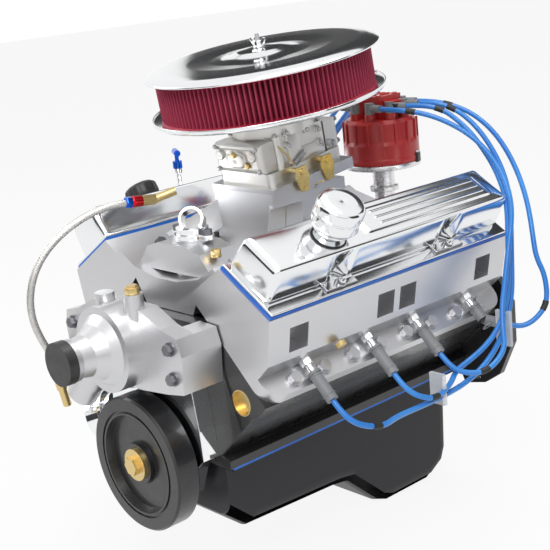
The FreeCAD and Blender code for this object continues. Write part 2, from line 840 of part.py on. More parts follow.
def cut_head_ports(head, label):
    """Exhaust and inlet ports, plug holes, pushrod holes and bolt holes."""
    face = tilted_sketch(head, label + "_exhaust_ports", (RAIL_OUTER[0] + FACE_FOOT[0]) / 2,
                         (RAIL_OUTER[1] + FACE_FOOT[1]) / 2, PORT_TILT)
    outer = D.bore_pitch * 1.5 + 24.8
    for y in (-outer, -D.port_pitch / 2, D.port_pitch / 2, outer):
        box_outline(face, 5, y, D.port_height, D.port_width)
    pocket(head, face, 34)
    inlet = tilted_sketch(head, label + "_inlet_ports", (RAIL_INNER[0] + INLET_FOOT[0]) / 2,
                          (RAIL_INNER[1] + INLET_FOOT[1]) / 2, INLET_TILT - 90)
    for middle in (-D.bore_pitch, D.bore_pitch):
        for step in (-17, 17):
            box_outline(inlet, 0, middle + step, 44, 26)
    pocket(head, inlet, 30)
    plugs = sketch(head, label + "_plug_holes", "YZ_Plane", offset=PLUG_FACE_X + 2)
    for number in range(4):
        ring(plugs, plug_place(number), PLUG_LIFT, 7.05)
    pocket(head, plugs, 22)
    holes = sketch(head, label + "_bolt_holes", "XY_Plane")
    for x, y in head_bolt_spots():
        ring(holes, x, y, 5.7)
    pocket(head, holes, 90, along_normal=True)
    rods = sketch(head, label + "_rod_holes", "XY_Plane")
    for kind, y in head_valves():
        ring(rods, -84.5, y, 6.5)
    pocket(head, rods, 90, along_normal=True)


def plug_place(number):
    """Distance of a spark plug along the head, front plug first."""
    return (-PLUG_OUTER, -PLUG_INNER, PLUG_INNER, PLUG_OUTER)[number]


def head_bolt_spots():
    """Head bolts: eight along the outer ledge and five between the cylinders."""
    spots = []
    for x, count, step in HEAD_BOLT_ROWS:
        pitch = D.bore_pitch / 2 * step
        spots += [(x, pitch * (number - (count - 1) / 2)) for number in range(count)]
    return spots


def make_head_bolts():
    shapes = []
    for side in (LEFT, RIGHT):
        for x, y in head_bolt_spots():
            seat = LEDGE_HEIGHT if x > 0 else 66.0
            washer_bolt = bolt(16, 9, 11, seat).fuse(rod(11, 2.5))
            shapes.append(on_head(side, moved(washer_bolt, x, y, seat)))
    return group("head_bolts", shapes)


def along_valve(distance, y):
    """A point on a valve's axis."""
    lean = math.radians(VALVE_TILT)
    start = 6 * math.cos(lean)
    return (start - distance * math.sin(lean), y, 6 * math.sin(lean) + distance * math.cos(lean))


def make_valve_gear():
    """Valves, springs, rockers, pushrods and lifters of all sixteen valves, at rest."""
    lean = math.radians(VALVE_TILT)
    way = (-math.sin(lean), 0, math.cos(lean))
    valves, rockers = [], []
    for side in (LEFT, RIGHT):
        for kind, y in head_valves():
            radius = VALVE_RADII[kind] - (3.5 if kind == "inlet" else 0.5)
            poppet = rod(radius, 3, along_valve(11, y), way)
            poppet = poppet.fuse(rod(STEM_RADIUS, 104, along_valve(11, y), way))
            valves.append(on_head(side, poppet))
            coil = rod(15, SPRING_LENGTH, along_valve(SPRING_SEAT, y), way)
            coil = coil.cut(rod(11, SPRING_LENGTH, along_valve(SPRING_SEAT, y), way))
            valves.append(on_head(side, coil))
            cap = rod(15, 4, along_valve(SPRING_SEAT + SPRING_LENGTH, y), way)
            valves.append(on_head(side, cap.cut(rod(STEM_RADIUS, 9, along_valve(SPRING_SEAT + 38, y), way))))
            tip = along_valve(115.3, y)
            rockers.append(on_head(side, rocker(tip[0], tip[2], y)))
            rockers.append(on_head(side, rod(4.6, 39.5, (-64, y, 66))))
    group("valves", valves)
    group("rocker_arms", rockers)


def rocker(tip_x, tip_z, y):
    """A rocker arm from a valve tip across its stud to a pushrod."""
    cup_x, height = -84.5, tip_z - 0.4
    profile = [(tip_x + 7, tip_z + 2.4), (tip_x - 6, tip_z + 2.4), (-56, 106), (-72, 106), (cup_x + 5, height),
               (cup_x - 6, height), (cup_x - 6, height + 6), (-72, 118), (-56, 121), (tip_x + 7, tip_z + 8)]
    return prism([(x, y - 7, z) for x, z in profile], 14, (0, 1, 0))


def make_lifters():
    """Lifters stand clear of their lobes; pushrods reach from them to the rockers."""
    lifters, pushrods = [], []
    foot = float(CAM_U) + LIFTER_FOOT
    top = foot + LIFTER_LENGTH
    tip_z = along_valve(115.3, 0)[2]
    for side in (LEFT, RIGHT):
        for station in valve_stations(side):
            spot = bank_point(side, foot, float(CAM_V), -float(station))
            way = (ROOT2 * side, 0, ROOT2)
            lifters.append(rod(LIFTER_RADIUS, LIFTER_LENGTH, spot, way))
            low = Vector(*bank_point(side, top, float(CAM_V), -float(station)))
            high = Vector(*bank_point(side, float(D.deck_height) + tip_z - 0.4, -84.5, -float(station)))
            reach = high - low
            length = reach.Length - 3
            reach.normalize()
            pushrods.append(rod(4, length, low + reach * 1.5, reach))
    group("lifters_and_pushrods", lifters + pushrods)


# ---------------------------------------------------------------- valve covers


def make_valve_cover(label, side):
    """A tall pressed cover on a bolted flange, open below."""
    cover = body(label)
    low, high = D.cover_gasket, D.cover_height
    length = D.cover_length
    base = low + D.cover_flange
    shell = sketch(cover, label + "_shell", "XZ_Plane", offset=-length / 2)
    outline(shell, [(5, low), (90, low), (86, high), (14, high)])
    pad(cover, shell, length)
    round_edges(cover, 9, lambda edge, spot, way: spot.z > 20)
    wall = D.cover_wall
    inside = sketch(cover, label + "_inside", "XZ_Plane", offset=5 - length / 2)
    outline(inside, [(5 + wall, low), (90 - wall, low), (86 - wall, high - 10), (78 - wall, high - wall),
                     (22 + wall, high - wall), (14 + wall, high - 10)])
    pocket(cover, inside, length - 10, along_normal=True)
    flange = sketch(cover, label + "_flange", "XY_Plane", offset=low)
    half = D.head_length / 2 - 3
    outline(flange, [(0, -half), (107, -half), (107, half), (0, half)])
    box_outline(flange, 47.5, 0, 82, length - 8)
    pad(cover, flange, base - low)
    bolts = sketch(cover, label + "_bolt_holes", "XY_Plane")
    for y in (-D.bore_pitch, D.bore_pitch):
        ring(bolts, COVER_BOLT_X, y, 3.3)
    pocket(cover, bolts, 20, along_normal=True)
    top_hole = sketch(cover, label + "_top_hole", "XY_Plane", offset=high - 10)
    ring(top_hole, CAP_X, CAP_STEP * side, BREATHER_NECK)
    pocket(cover, top_hole, 20, along_normal=True)
    lie_on_rail(cover, side)
    return node(cover)


CAP_X = 50.0
CAP_STEP = -111.0
BREATHER_NECK = 16.0


def rail_turn(side):
    turn = spin_y(45 - RAIL_TILT)
    return turn if side == LEFT else spin_z(180).multiply(turn)


def rail_corner(side):
    """The inner corner of the valve cover rail, half way along the head."""
    return bank_point(side, D.deck_height + RAIL_INNER[1], RAIL_INNER[0], -head_middle(side))


def lie_on_rail(obj, side):
    x, y, z = rail_corner(side)
    return place(obj, x, y, z, rail_turn(side))


def on_rail(side, shape):
    copy = shape.copy()
    frame = Placement(Vector(*map(float, rail_corner(side))), rail_turn(side))
    copy.Placement = frame.multiply(shape.Placement)
    return copy


def make_cover_trim():
    """Gaskets under the covers, and the bolts with their spreader bars."""
    half = float(D.head_length / 2) - 3
    gaskets, fixings = [], []
    sheet = Part.makeBox(107, 2 * half, float(D.cover_gasket), Vector(0, -half, 0))
    window = Part.makeBox(80, 2 * half - 24, 9, Vector(9, 12 - half, -1))
    holes = [rod(3.3, 9, (COVER_BOLT_X, y, -1)) for y in (-float(D.bore_pitch), float(D.bore_pitch))]
    seat = float(D.cover_gasket + D.cover_flange)
    for side in (LEFT, RIGHT):
        gaskets.append(on_rail(side, sheet.cut([window] + holes)))
        for y in (-float(D.bore_pitch), float(D.bore_pitch)):
            bar = Part.makeBox(10, 60, 3, Vector(COVER_BOLT_X - 5, y - 30, seat))
            stem = rod(3.2, seat + 3, (COVER_BOLT_X, y, 0))
            head = moved(hexagon(11, 7), COVER_BOLT_X, y, seat + 3)
            fixings.append(on_rail(side, bar.fuse([stem, head])))
    return gaskets, fixings


def make_caps_on_covers():
    """The push-in breather on the left cover and the filler cap on the right one."""
    top = float(D.cover_height)
    neck = BREATHER_NECK - 0.3
    breather = turned([(0, top - 14), (neck, top - 14), (neck, top + 4), (24, top + 4), (26, top + 8), (32, top + 14),
                       (34, top + 20), (34, top + 44), (32, top + 49), (26, top + 52), (0, top + 52)])
    made = DOC.addObject("Part::Feature", "breather")
    made.Shape = on_rail(LEFT, moved(breather, CAP_X, CAP_STEP, 0))
    node(made)
    filler = turned([(0, top - 14), (neck, top - 14), (neck, top + 0.3), (26, top + 0.3), (28, top + 3), (28, top + 20),
                     (25, top + 24), (0, top + 24)])
    made = DOC.addObject("Part::Feature", "oil_filler_cap")
    made.Shape = on_rail(RIGHT, moved(filler, CAP_X, -CAP_STEP, 0))
    node(made)


# ---------------------------------------------------------------- induction


def rail_line(side, height, gap=0.5):
    """The inlet face point of a bank at a distance up from its foot, moved inward by a gap."""
    lean = math.radians(INLET_TILT)
    v = INLET_FOOT[0] + height * math.sin(lean) - gap * math.cos(lean)
    u = float(D.deck_height) + height * math.cos(lean) + gap * math.sin(lean)
    x, _, z = bank_point(side, u, v, 0)
    return x, z


# Bolts of the inlet flange: distance along the head, height up its face, thickness held.
INLET_BOLTS = (-180, -62, -14, 14, 62, 180)
INLET_BOLT_LIFT = 36.0
INLET_FLANGE = 12.8


def make_manifold():
    """A carburettor plenum on eight runners over a valley cover, with a coolant crossover ahead."""
    manifold = body("intake_manifold")
    foot_x, foot_z = rail_line(LEFT, -1)
    lip_x, lip_z = rail_line(LEFT, 50)
    floor = D.valley_rail + 1.0
    seats = []
    plate = sketch(manifold, "valley_cover", "XZ_Plane", offset=16)
    right_half = [(54, floor), (foot_x, foot_z), (lip_x, lip_z), (lip_x - 9, lip_z + 9), (foot_x - 2, foot_z + 16),
                  (24, foot_z + 6)]
    outline(plate, right_half + [(-x, z) for x, z in reversed(right_half)])
    pad(manifold, plate, D.block_length - 38)
    well = sketch(manifold, "valley_hollow", "XZ_Plane", offset=36)
    outline(well, [(-54, floor - 5), (54, floor - 5), (54, floor + 18), (30, foot_z - 6), (-30, foot_z - 6), (-54, floor + 18)])
    pocket(manifold, well, D.block_length - 78, along_normal=True)
    plenum = sketch(manifold, "plenum", "XY_Plane", offset=foot_z)
    centre = -(D.carb_station + 8)
    box_outline(plenum, 0, centre, 132, 150)
    pad(manifold, plenum, D.carb_pad_height - foot_z - 18)
    for name, side in BANKS.items():
        x, z = rail_line(side, INLET_BOLT_LIFT, gap=INLET_FLANGE)
        spots = sketch(manifold, name + "_bolt_seats", "XY_Plane")
        spots.AttachmentOffset = Placement(Vector(x, 0, z), spin_y((INLET_TILT - 45) * side))
        for step in INLET_BOLTS:
            ring(spots, 0, -float(head_middle(side)) + step * side, 12)
        seats.append(spots)
    top = sketch(manifold, "carb_pad", "XY_Plane")
    tilt_sketch(top, -D.carb_station, D.carb_pad_height)
    box_outline(top, 0, 0, 140, 168)
    pad(manifold, top, 16, backward=True)
    runner_shapes(manifold, foot_z)
    crossover = sketch(manifold, "crossover", "XZ_Plane", offset=430)
    outline(crossover, [(-88, foot_z + 12), (88, foot_z + 12), (60, 292), (34, 300), (-34, 300), (-60, 292)])
    pad(manifold, crossover, 62)
    boss = sketch(manifold, "thermostat_boss", "XY_Plane", offset=foot_z + 5)
    ring(boss, 0, -OUTLET_STATION, 31)
    pad(manifold, boss, OUTLET_SEAT - foot_z - 5)
    for spots in seats:
        pocket(manifold, spots, 22, along_normal=True)
    bores = sketch(manifold, "throttle_wells", "XY_Plane")
    tilt_sketch(bores, -D.carb_station, D.carb_pad_height)
    for x, y in throttle_spots():
        ring(bores, x, y, D.throttle_bore / 2)
    pocket(manifold, bores, 60)
    well = sketch(manifold, "thermostat_well", "XY_Plane", offset=OUTLET_SEAT)
    ring(well, 0, -OUTLET_STATION, 22)
    pocket(manifold, well, 34)
    drop = sketch(manifold, "distributor_hole", "XY_Plane", offset=foot_z + 40)
    ring(drop, DISTRIBUTOR_X, -D.distributor_station, 17)
    pocket(manifold, drop, 90)
    return node(manifold)


OUTLET_STATION = 452.0
OUTLET_SEAT = 303.0
DISTRIBUTOR_X = 0.0


def tilt_sketch(made, y, z):
    """Lean a level sketch with the carburettor, front edge low."""
    turn = spin_x(float(D.carb_tilt))
    made.AttachmentOffset = Placement(Vector(0, float(y), float(z)), turn)
    made.setExpression("AttachmentOffset.Base.y", y.text)
    made.setExpression("AttachmentOffset.Base.z", z.text)


def throttle_spots():
    """The four barrels in carburettor axes, front pair first."""
    return [(D.throttle_spacing_x / 2 * i, D.throttle_spacing_y / 2 * j) for j in (-1, 1) for i in (-1, 1)]


def runner_shapes(manifold, foot_z):
    """Eight runners, each a loft from the plenum side down to its port."""
    for name, side in BANKS.items():
        lean = INLET_TILT - 45
        for number in range(4):
            port_y = -float(head_middle(side)) + float(D.bore_pitch) * (-1 if number < 2 else 1) + (17 if number % 2 else -17)
            start_y = -float(D.carb_station) - 6 + (-52, -18, 18, 52)[number]
            x, z = rail_line(side, 41)
            port = sketch(manifold, "%s_port_%d" % (name, number), "XY_Plane")
            port.AttachmentOffset = Placement(Vector(x, port_y, z), spin_y(lean * side))
            box_outline(port, 0, 0, 48, 33)
            throat = sketch(manifold, "%s_throat_%d" % (name, number), "YZ_Plane", offset=50 * side)
            box_outline(throat, start_y, 318, 33, 44)
            loft = manifold.newObject("PartDesign::AdditiveLoft", "%s_runner_%d" % (name, number))
            loft.Profile = throat
            loft.Sections = [port]
            DOC.recompute()


def make_water_outlet():
    """Thermostat housing: a two-bolt flange, a dome and an angled hose neck."""
    lean = Vector(0.6, -0.7, 0.35).normalize()
    seat = Vector(0, -OUTLET_STATION, OUTLET_SEAT)
    start = seat + Vector(-16, 18, 17)
    outside = [rod(28, 7, seat), rod(24, 16, seat), rod(17.5, 27, start, lean), rod(18.6, 4, start + lean * 23, lean)]
    ears = [rod(9, 7, seat + Vector(x, 0, 0)) for x in (-34, 34)]
    web = Part.makeBox(68, 18, 7, seat + Vector(-34, -9, 0))
    housing = outside[0].fuse(outside[1:] + ears + [web])
    cuts = [rod(15, 62, start - lean * 8, lean), rod(19, 12, seat), rod(3.5, 9, seat + Vector(-34, 0, 0)), rod(3.5, 9, seat + Vector(34, 0, 0))]
    made = DOC.addObject("Part::Feature", "water_outlet")
    made.Shape = max(housing.cut(cuts).Solids, key=lambda solid: solid.Volume)
    return node(made)


def on_carb(shape):
    """A shape modelled in carburettor axes, set on the manifold's pad."""
    copy = shape.copy()
    spot = Vector(0, -float(D.carb_station), float(D.carb_pad_height))
    copy.Placement = Placement(spot, spin_x(float(D.carb_tilt))).multiply(shape.Placement)
    return copy


STUD_RADIUS = 3.2


def carb_body(label):
    made = body(label)
    return place(made, 0, -D.carb_station, D.carb_pad_height, spin_x(float(D.carb_tilt)))


THROTTLE_LEVEL = 12.0
SHAFT_RADIUS = 4.5
PLATE_THICKNESS = 1.6
CHOKE_Y = -30.0
CHOKE_DROP = 4.0
CHOKE_PIVOT = 2.6


def make_carburettor():
    height = D.carb_height
    base = carb_body("carb_base")
    plate = sketch(base, "base_plate", "XY_Plane")
    box_outline(plate, 0, 0, 118, 150)
    for x, y in throttle_spots():
        ring(plate, x, y, D.throttle_bore / 2)
    pad(base, plate, D.carb_base_height)
    round_edges(base, 10, lambda edge, spot, way: along(way, "z") and abs(spot.x) > 55)
    for step in (-1, 1):
        shaft = sketch(base, "shaft_bore_%d" % (step + 1), "YZ_Plane", offset=-60)
        ring(shaft, D.throttle_spacing_y / 2 * step, THROTTLE_LEVEL, SHAFT_RADIUS + D.shaft_gap)
        pocket(base, shaft, 120, along_normal=True)
    node(base)
    main = carb_body("carb_body")
    block = sketch(main, "main_body", "XY_Plane", offset=D.carb_base_height)
    box_outline(block, 0, 0, 112, 104)
    for x, y in throttle_spots():
        ring(block, x, y, D.throttle_bore / 2 - 1)
    pad(main, block, height - D.carb_base_height - 24)
    round_edges(main, 12, lambda edge, spot, way: along(way, "z") and abs(spot.x) > 50)
    horn = sketch(main, "air_horn", "XY_Plane", offset=height - 24)
    ring(horn, 0, 0, 64)
    ring(horn, 0, 0, 60.5)
    pad(main, horn, 24)
    floor = sketch(main, "horn_floor", "XY_Plane", offset=height - 27)
    ring(floor, 0, 0, 62)
    for x, y in throttle_spots():
        ring(floor, x, y, D.throttle_bore / 2 - 1)
    pad(main, floor, 4)
    pivot = sketch(main, "choke_pivot_hole", "YZ_Plane", offset=-70)
    ring(pivot, CHOKE_Y, height - CHOKE_DROP, CHOKE_PIVOT + D.shaft_gap)
    pocket(main, pivot, 140, along_normal=True)
    spine = sketch(main, "stud_boss", "XY_Plane", offset=height - 24)
    ring(spine, 0, 0, 7)
    pad(main, spine, 14)
    thread = sketch(main, "stud_hole", "XY_Plane", offset=height - 10)
    ring(thread, 0, 0, STUD_RADIUS + 0.05)
    pocket(main, thread, 10)
    node(main)
    stud = Part.makeCylinder(STUD_RADIUS, 136, Vector(0, 0, float(height) - 18))
    group("cleaner_stud", [on_carb(stud)])
    bowls = []
    for step in (-1, 1):
        bowl = Part.makeBox(104, 30, 44, Vector(-52, -15, 0))
        outer = [e for e in bowl.Edges
                 if e.Vertexes[0].Point.y * step > 0 and e.Vertexes[1].Point.y * step > 0]
        bowl = bowl.makeFillet(9, outer)
        bowls.append(on_carb(moved(bowl, 0, step * (52 + 15), float(D.carb_base_height) + 0.5)))
    group("float_bowls", bowls)
    make_throttles()


def make_throttles():
    """Each shaft carries its pair of plates; the front one has the linkage lever."""
    half_bore = float(D.throttle_bore) / 2 - 0.3
    spacing = float(D.throttle_spacing_x) / 2
    for label, step in (("primary_throttle", -1), ("secondary_throttle", 1)):
        y = float(D.throttle_spacing_y) / 2 * step
        reach = 80 if step < 0 else 76
        solid = rod(SHAFT_RADIUS, reach + 62, (-62, y, THROTTLE_LEVEL), (1, 0, 0))
        plates = [rod(half_bore, PLATE_THICKNESS, (x, y, THROTTLE_LEVEL - PLATE_THICKNESS / 2)) for x in (-spacing, spacing)]
        lever = lever_shape(y, reach - 5)
        made = DOC.addObject("Part::Feature", label)
        made.Shape = on_carb(solid.fuse(plates + [lever]))
        node(made)
    level = float(D.carb_height) - CHOKE_DROP
    flap = Part.makeBox(68, 36, PLATE_THICKNESS, Vector(-34, CHOKE_Y - 18, level - PLATE_THICKNESS / 2))
    pivot = rod(CHOKE_PIVOT, 111, (-55.5, CHOKE_Y, level), (1, 0, 0))
    made = DOC.addObject("Part::Feature", "choke_plate")
    made.Shape = on_carb(flap.fuse(pivot))
    node(made)


def lever_shape(y, x):
    """A flat throttle lever hanging from its shaft."""
    profile = [(-9, 8), (9, 8), (12, -6), (7, -30), (-7, -30), (-14, -8)]
    return prism([(x, y + a, THROTTLE_LEVEL + b) for a, b in profile], 3, (1, 0, 0))


def make_air_cleaner():
    """Drop base, pleated element and lid, all turned about the stud."""
    r = float(D.cleaner_radius)
    seat = float(D.carb_height)
    rim = 111.5
    top = rim + float(D.cleaner_height)
    element = float(D.element_radius)
    base = carb_body("air_cleaner_base")
    profile = sketch(base, "cleaner_base_profile", "XZ_Plane")
    outline(profile, [(58, seat + 0.1), (65, seat + 0.1), (65, seat - 8), (66.5, seat - 8), (66.5, seat - 1),
                      (92, seat - 1), (132, rim - 6), (r - 5, rim - 6), (r, rim - 3), (r, rim + 3),
                      (r - 2, rim + 3), (r - 2, rim - 1), (132, rim - 4), (91, seat + 1.1), (58, seat + 1.6)])
    revolve(base, profile)
    node(base)
    filt = carb_body("air_filter")
    profile = sketch(filt, "element_profile", "XZ_Plane")
    outline(profile, [(element - 22, rim - 3.0), (element, rim - 1.5), (element, top - 3), (element - 22, top - 3)])
    revolve(filt, profile)
    node(filt)
    lid = carb_body("air_cleaner_lid")
    profile = sketch(lid, "lid_profile", "XZ_Plane")
    outline(profile, [(3.6, top + 14), (30, top + 13), (60, top + 6), (150, top + 7), (r - 12, top + 5), (r, top),
                      (r, top - 3), (r - 2, top - 3), (r - 3, top - 1), (r - 14, top + 3), (150, top + 5), (58, top + 4),
                      (29, top + 11), (3.6, top + 12)])
    revolve(lid, profile)
    node(lid)
    wing = turned([(3.25, top + 14.3), (9, top + 14.3), (7, top + 22), (3.25, top + 22)])
    blades = []
    for step in (-1, 1):
        shape = [(4.5 * step, -1.5, top + 15), (8 * step, -1.5, top + 15), (17 * step, -1.5, top + 29), (10 * step, -1.5, top + 29)]
        blades.append(prism(shape, 3, (0, 1, 0)))
    made = DOC.addObject("Part::Feature", "wing_nut")
    made.Shape = on_carb(wing.fuse(blades))
    node(made)


# ---------------------------------------------------------------- ignition


def make_distributor():
    x, y = DISTRIBUTOR_X, -float(D.distributor_station)
    r = float(D.distributor_radius)
    housing = turned([(7.05, 212), (16.5, 212), (16.5, 288), (24, 290), (24, 297), (18, 299), (18, 322), (r - 14, 330),
                      (r - 6, 334), (r - 6, 340), (r - 12, 340), (r - 18, 336), (7.05, 330)])
    made = DOC.addObject("Part::Feature", "distributor_body")
    made.Shape = moved(housing, x, y)
    node(made)
    cap = turned([(r - 4, 340.3), (r, 340.3), (r, 372), (r - 3, 378), (r - 3, 406), (r - 8, 412), (0, 412), (0, 408),
                  (r - 10, 408), (r - 7, 404), (r - 7, 376), (r - 4, 370)])
    towers = []
    for number in range(8):
        angle = math.radians(45 * number + 22.5)
        spot = (42 * math.cos(angle), 42 * math.sin(angle), 410)
        towers.append(rod(9, 12, spot))
    made = DOC.addObject("Part::Feature", "distributor_cap")
    made.Shape = moved(cap.fuse(towers), x, y)
    node(made)
    cover = Part.makeBox(52, 52, 36, Vector(-26, -26, 412.2))
    made = DOC.addObject("Part::Feature", "coil_cover")
    made.Shape = moved(cover, x, y)
    node(made)
    rotor = rod(7, 346, (0, 0, 0)).cut(rod(20, 212.5, (0, 0, -0.5)))
    arm = turned([(0, 346), (22, 346), (22, 352), (0, 352)]).fuse(Part.makeBox(44, 12, 8, Vector(0, -6, 352)))
    made = DOC.addObject("Part::Feature", "distributor_rotor")
    made.Shape = moved(rotor.fuse(arm), x, y)
    node(made)


# ---------------------------------------------------------------- front accessories


def make_water_pump():
    """A long-leg pump: two legs, a volute, a bearing nose, an inlet neck and a bypass boss."""
    pump = body("water_pump_housing")
    face = D.block_length
    z = D.pump_height
    legs = sketch(pump, "pump_legs", "XZ_Plane", offset=face)
    for side in (LEFT, RIGHT):
        outline(legs, [(96 * side, 128), (134 * side, 134), (139 * side, 188), (132 * side, 212), (98 * side, 214)])
    bridge = sketch(pump, "pump_bridge", "XZ_Plane", offset=face + 38)
    right_half = [(40, 122), (98, 128), (134, 134), (139, 188), (132, 212), (98, 220), (56, 240)]
    outline(bridge, right_half + [(-x, height) for x, height in reversed(right_half)])
    pad(pump, bridge, 30)
    pad(pump, legs, 40)
    volute = sketch(pump, "volute", "XZ_Plane", offset=face + 36)
    ring(volute, 0, z, 62)
    pad(pump, volute, 64)
    nose = sketch(pump, "nose", "YZ_Plane")
    start = -(face + 95)
    outline(nose, [(start, z), (start, z + 56), (start - 16, z + 40), (start - 34, z + 30), (-D.pump_front + 8.5, z + 27),
                   (-D.pump_front + 8.5, z)])
    turning = pump.newObject("PartDesign::Revolution", "nose_turned")
    turning.Profile = nose
    axis = nose.addGeometry(Part.LineSegment(Vector(-700, float(z), 0), Vector(-500, float(z), 0)), True)
    hold(nose, [("DistanceY", -1, 1, axis, 1, z), ("DistanceY", -1, 1, axis, 2, z),
                        ("DistanceX", -1, 1, axis, 1, -700), ("DistanceX", -1, 1, axis, 2, -500)])
    turning.ReferenceAxis = (nose, ["Axis0"])
    turning.Angle = 360
    DOC.recompute()
    for name, x, height in (("bypass_boss", 36, 214), ("heater_boss", -34, 206)):
        boss = sketch(pump, name, "XY_Plane", offset=height)
        ring(boss, x, -(face + 62), 14)
        pad(pump, boss, 46)
    neck = sketch(pump, "inlet_neck", "XY_Plane")
    way = Vector(-0.62, -0.12, -0.77)
    neck.AttachmentOffset = Placement(Vector(-62, -float(face) - 62, 150), Rotation(Vector(0, 0, 1), way))
    ring(neck, 0, 0, 23)
    pad(pump, neck, 84)
    root = sketch(pump, "neck_root", "XY_Plane")
    root.AttachmentOffset = neck.AttachmentOffset
    ring(root, 0, 0, 25.5)
    pad(pump, root, 50)
    cavity = sketch(pump, "impeller_room", "XZ_Plane", offset=face + 35)
    ring(cavity, 0, z, 54)
    pocket(pump, cavity, 30, along_normal=True)
    bore = sketch(pump, "pump_bore", "XZ_Plane", offset=face + 35)
    ring(bore, 0, z, PUMP_SHAFT + D.shaft_gap)
    pocket(pump, bore, 150, along_normal=True)
    hole = sketch(pump, "inlet_hole", "XY_Plane")
    hole.AttachmentOffset = neck.AttachmentOffset
    ring(hole, 0, 0, 18)
    pocket(pump, hole, 90, along_normal=True)
    node(pump)
    make_pump_shaft(float(face), float(z))


PUMP_SHAFT = 8.0


def make_pump_shaft(face, z):
    front = -float(D.pump_front)
    back = -(face + 60)
    shaft = rod(PUMP_SHAFT, back - front, (0, front, z), (0, 1, 0))
    hub = rod(30, 8, (0, front, z), (0, 1, 0))
    wheel = rod(50, 4, (0, back - 4, z), (0, 1, 0))
    vanes = []
    for number in range(6):
        vane = Part.makeBox(30, 16, 3, Vector(16, back - 4, -1.5))
        vane.rotate(Vector(), Vector(0, 1, 0), 60 * number)
        vane.translate(Vector(0, 0, z))
        vanes.append(vane)
    holes = [rod(4, 10, (22 * math.cos(math.radians(90 * i + 45)), front - 1, z + 22 * math.sin(math.radians(90 * i + 45))), (0, 1, 0))
             for i in range(4)]
    made = DOC.addObject("Part::Feature", "water_pump_shaft")
    made.Shape = shaft.fuse([hub, wheel] + vanes).cut(holes)
    node(made)
    cap = rod(31, 15, (0, front - 15, z), (0, 1, 0))
    made = DOC.addObject("Part::Feature", "pump_hub_cap")
    made.Shape = cap
    node(made)


HOSE_END = Vector(-178, -600, 62)


def make_fuel_pump():
    """A mechanical pump on the right front side of the block."""
    seat = Vector(-128, -500, 30)
    way = Vector(-0.8, -0.5, -0.3).normalize()
    shape = rod(20, 38, seat, way).fuse([rod(32, 12, seat + way * 34, way), rod(38, 6, seat + way * 46, way),
                                         rod(32, 26, seat + way * 52, way)])
    port = seat + way * 60
    shape = shape.fuse(rod(7, 40, port, HOSE_END - port))
    made = DOC.addObject("Part::Feature", "fuel_pump")
    made.Shape = max(shape.cut(NODES[0].Shape).Solids, key=lambda solid: solid.Volume)
    return node(made)


# ---------------------------------------------------------------- sump


END_SEAL = 34.0


def make_oil_pan():
    pan = body("oil_pan")
    under = D.pan_gasket
    wall = D.pan_wall
    front, rear = D.block_length - 6, 20.0
    half = 104.0
    flange = sketch(pan, "pan_flange", "XY_Plane", offset=-under)
    outline(flange, [(-D.pan_rail, -front), (D.pan_rail, -front), (D.pan_rail, -rear), (-D.pan_rail, -rear)])
    pad(pan, flange, D.pan_flange, backward=True)
    tub = sketch(pan, "tub", "YZ_Plane", offset=-half)
    outline(tub, tub_profile(0, under))
    pad(pan, tub, half * 2)
    round_edges(pan, 28, lambda edge, spot, way: abs(abs(spot.x) - half) < 0.1 and spot.z < -60)
    inside = sketch(pan, "tub_inside", "YZ_Plane", offset=wall - half)
    outline(inside, tub_profile(wall, under - 1))
    pocket(pan, inside, (half - wall) * 2, along_normal=True)
    seal = sketch(pan, "end_seals", "XZ_Plane")
    ring(seal, 0, 0, END_SEAL)
    pocket(pan, seal, D.block_length + 9, along_normal=True)
    return node(pan)


def tub_profile(inset, top):
    """The pan's side view: shallow ahead, a deep sump behind, drawn in by a wall."""
    front, rear = -(D.block_length - 10), -28.0
    shallow, deep = -D.pan_depth, -D.sump_depth
    return [(front + inset, -top), (front + inset, shallow + 32), (front + 36 + inset, shallow + inset),
            (-300, shallow - 8 + inset), (-274 + inset, shallow - 12 + inset), (-212 + inset, deep + 10 + inset),
            (-186, deep + inset), (-84, deep + inset), (-48 - inset, deep + 20 + inset), (rear - 8 - inset, deep + 48),
            (rear - inset, -top)]


def make_pan_gasket(gaskets):
    """The sump gasket, kept in one node with those of the valve covers."""
    front, rear = float(D.block_length) - 6, 20.0
    rail = float(D.pan_rail)
    thick = float(D.pan_gasket)
    sheet = Part.makeBox(2 * rail, front - rear, thick, Vector(-rail, -front, -thick))
    window = Part.makeBox(208, front - rear - 14, thick + 2, Vector(-104, 7 - front, -thick - 1))
    window = window.fuse(rod(END_SEAL, front + 9, (0, -front - 9, 0), (0, 1, 0)))
    return group("gaskets", gaskets + [sheet.cut(window)])


# ---------------------------------------------------------------- plugs, leads and lines

BOOT_END = 110.0
BOOT_ELBOW = 88.0
BOOT_TAIL = 30.0
PLUG_TIP = 63.0


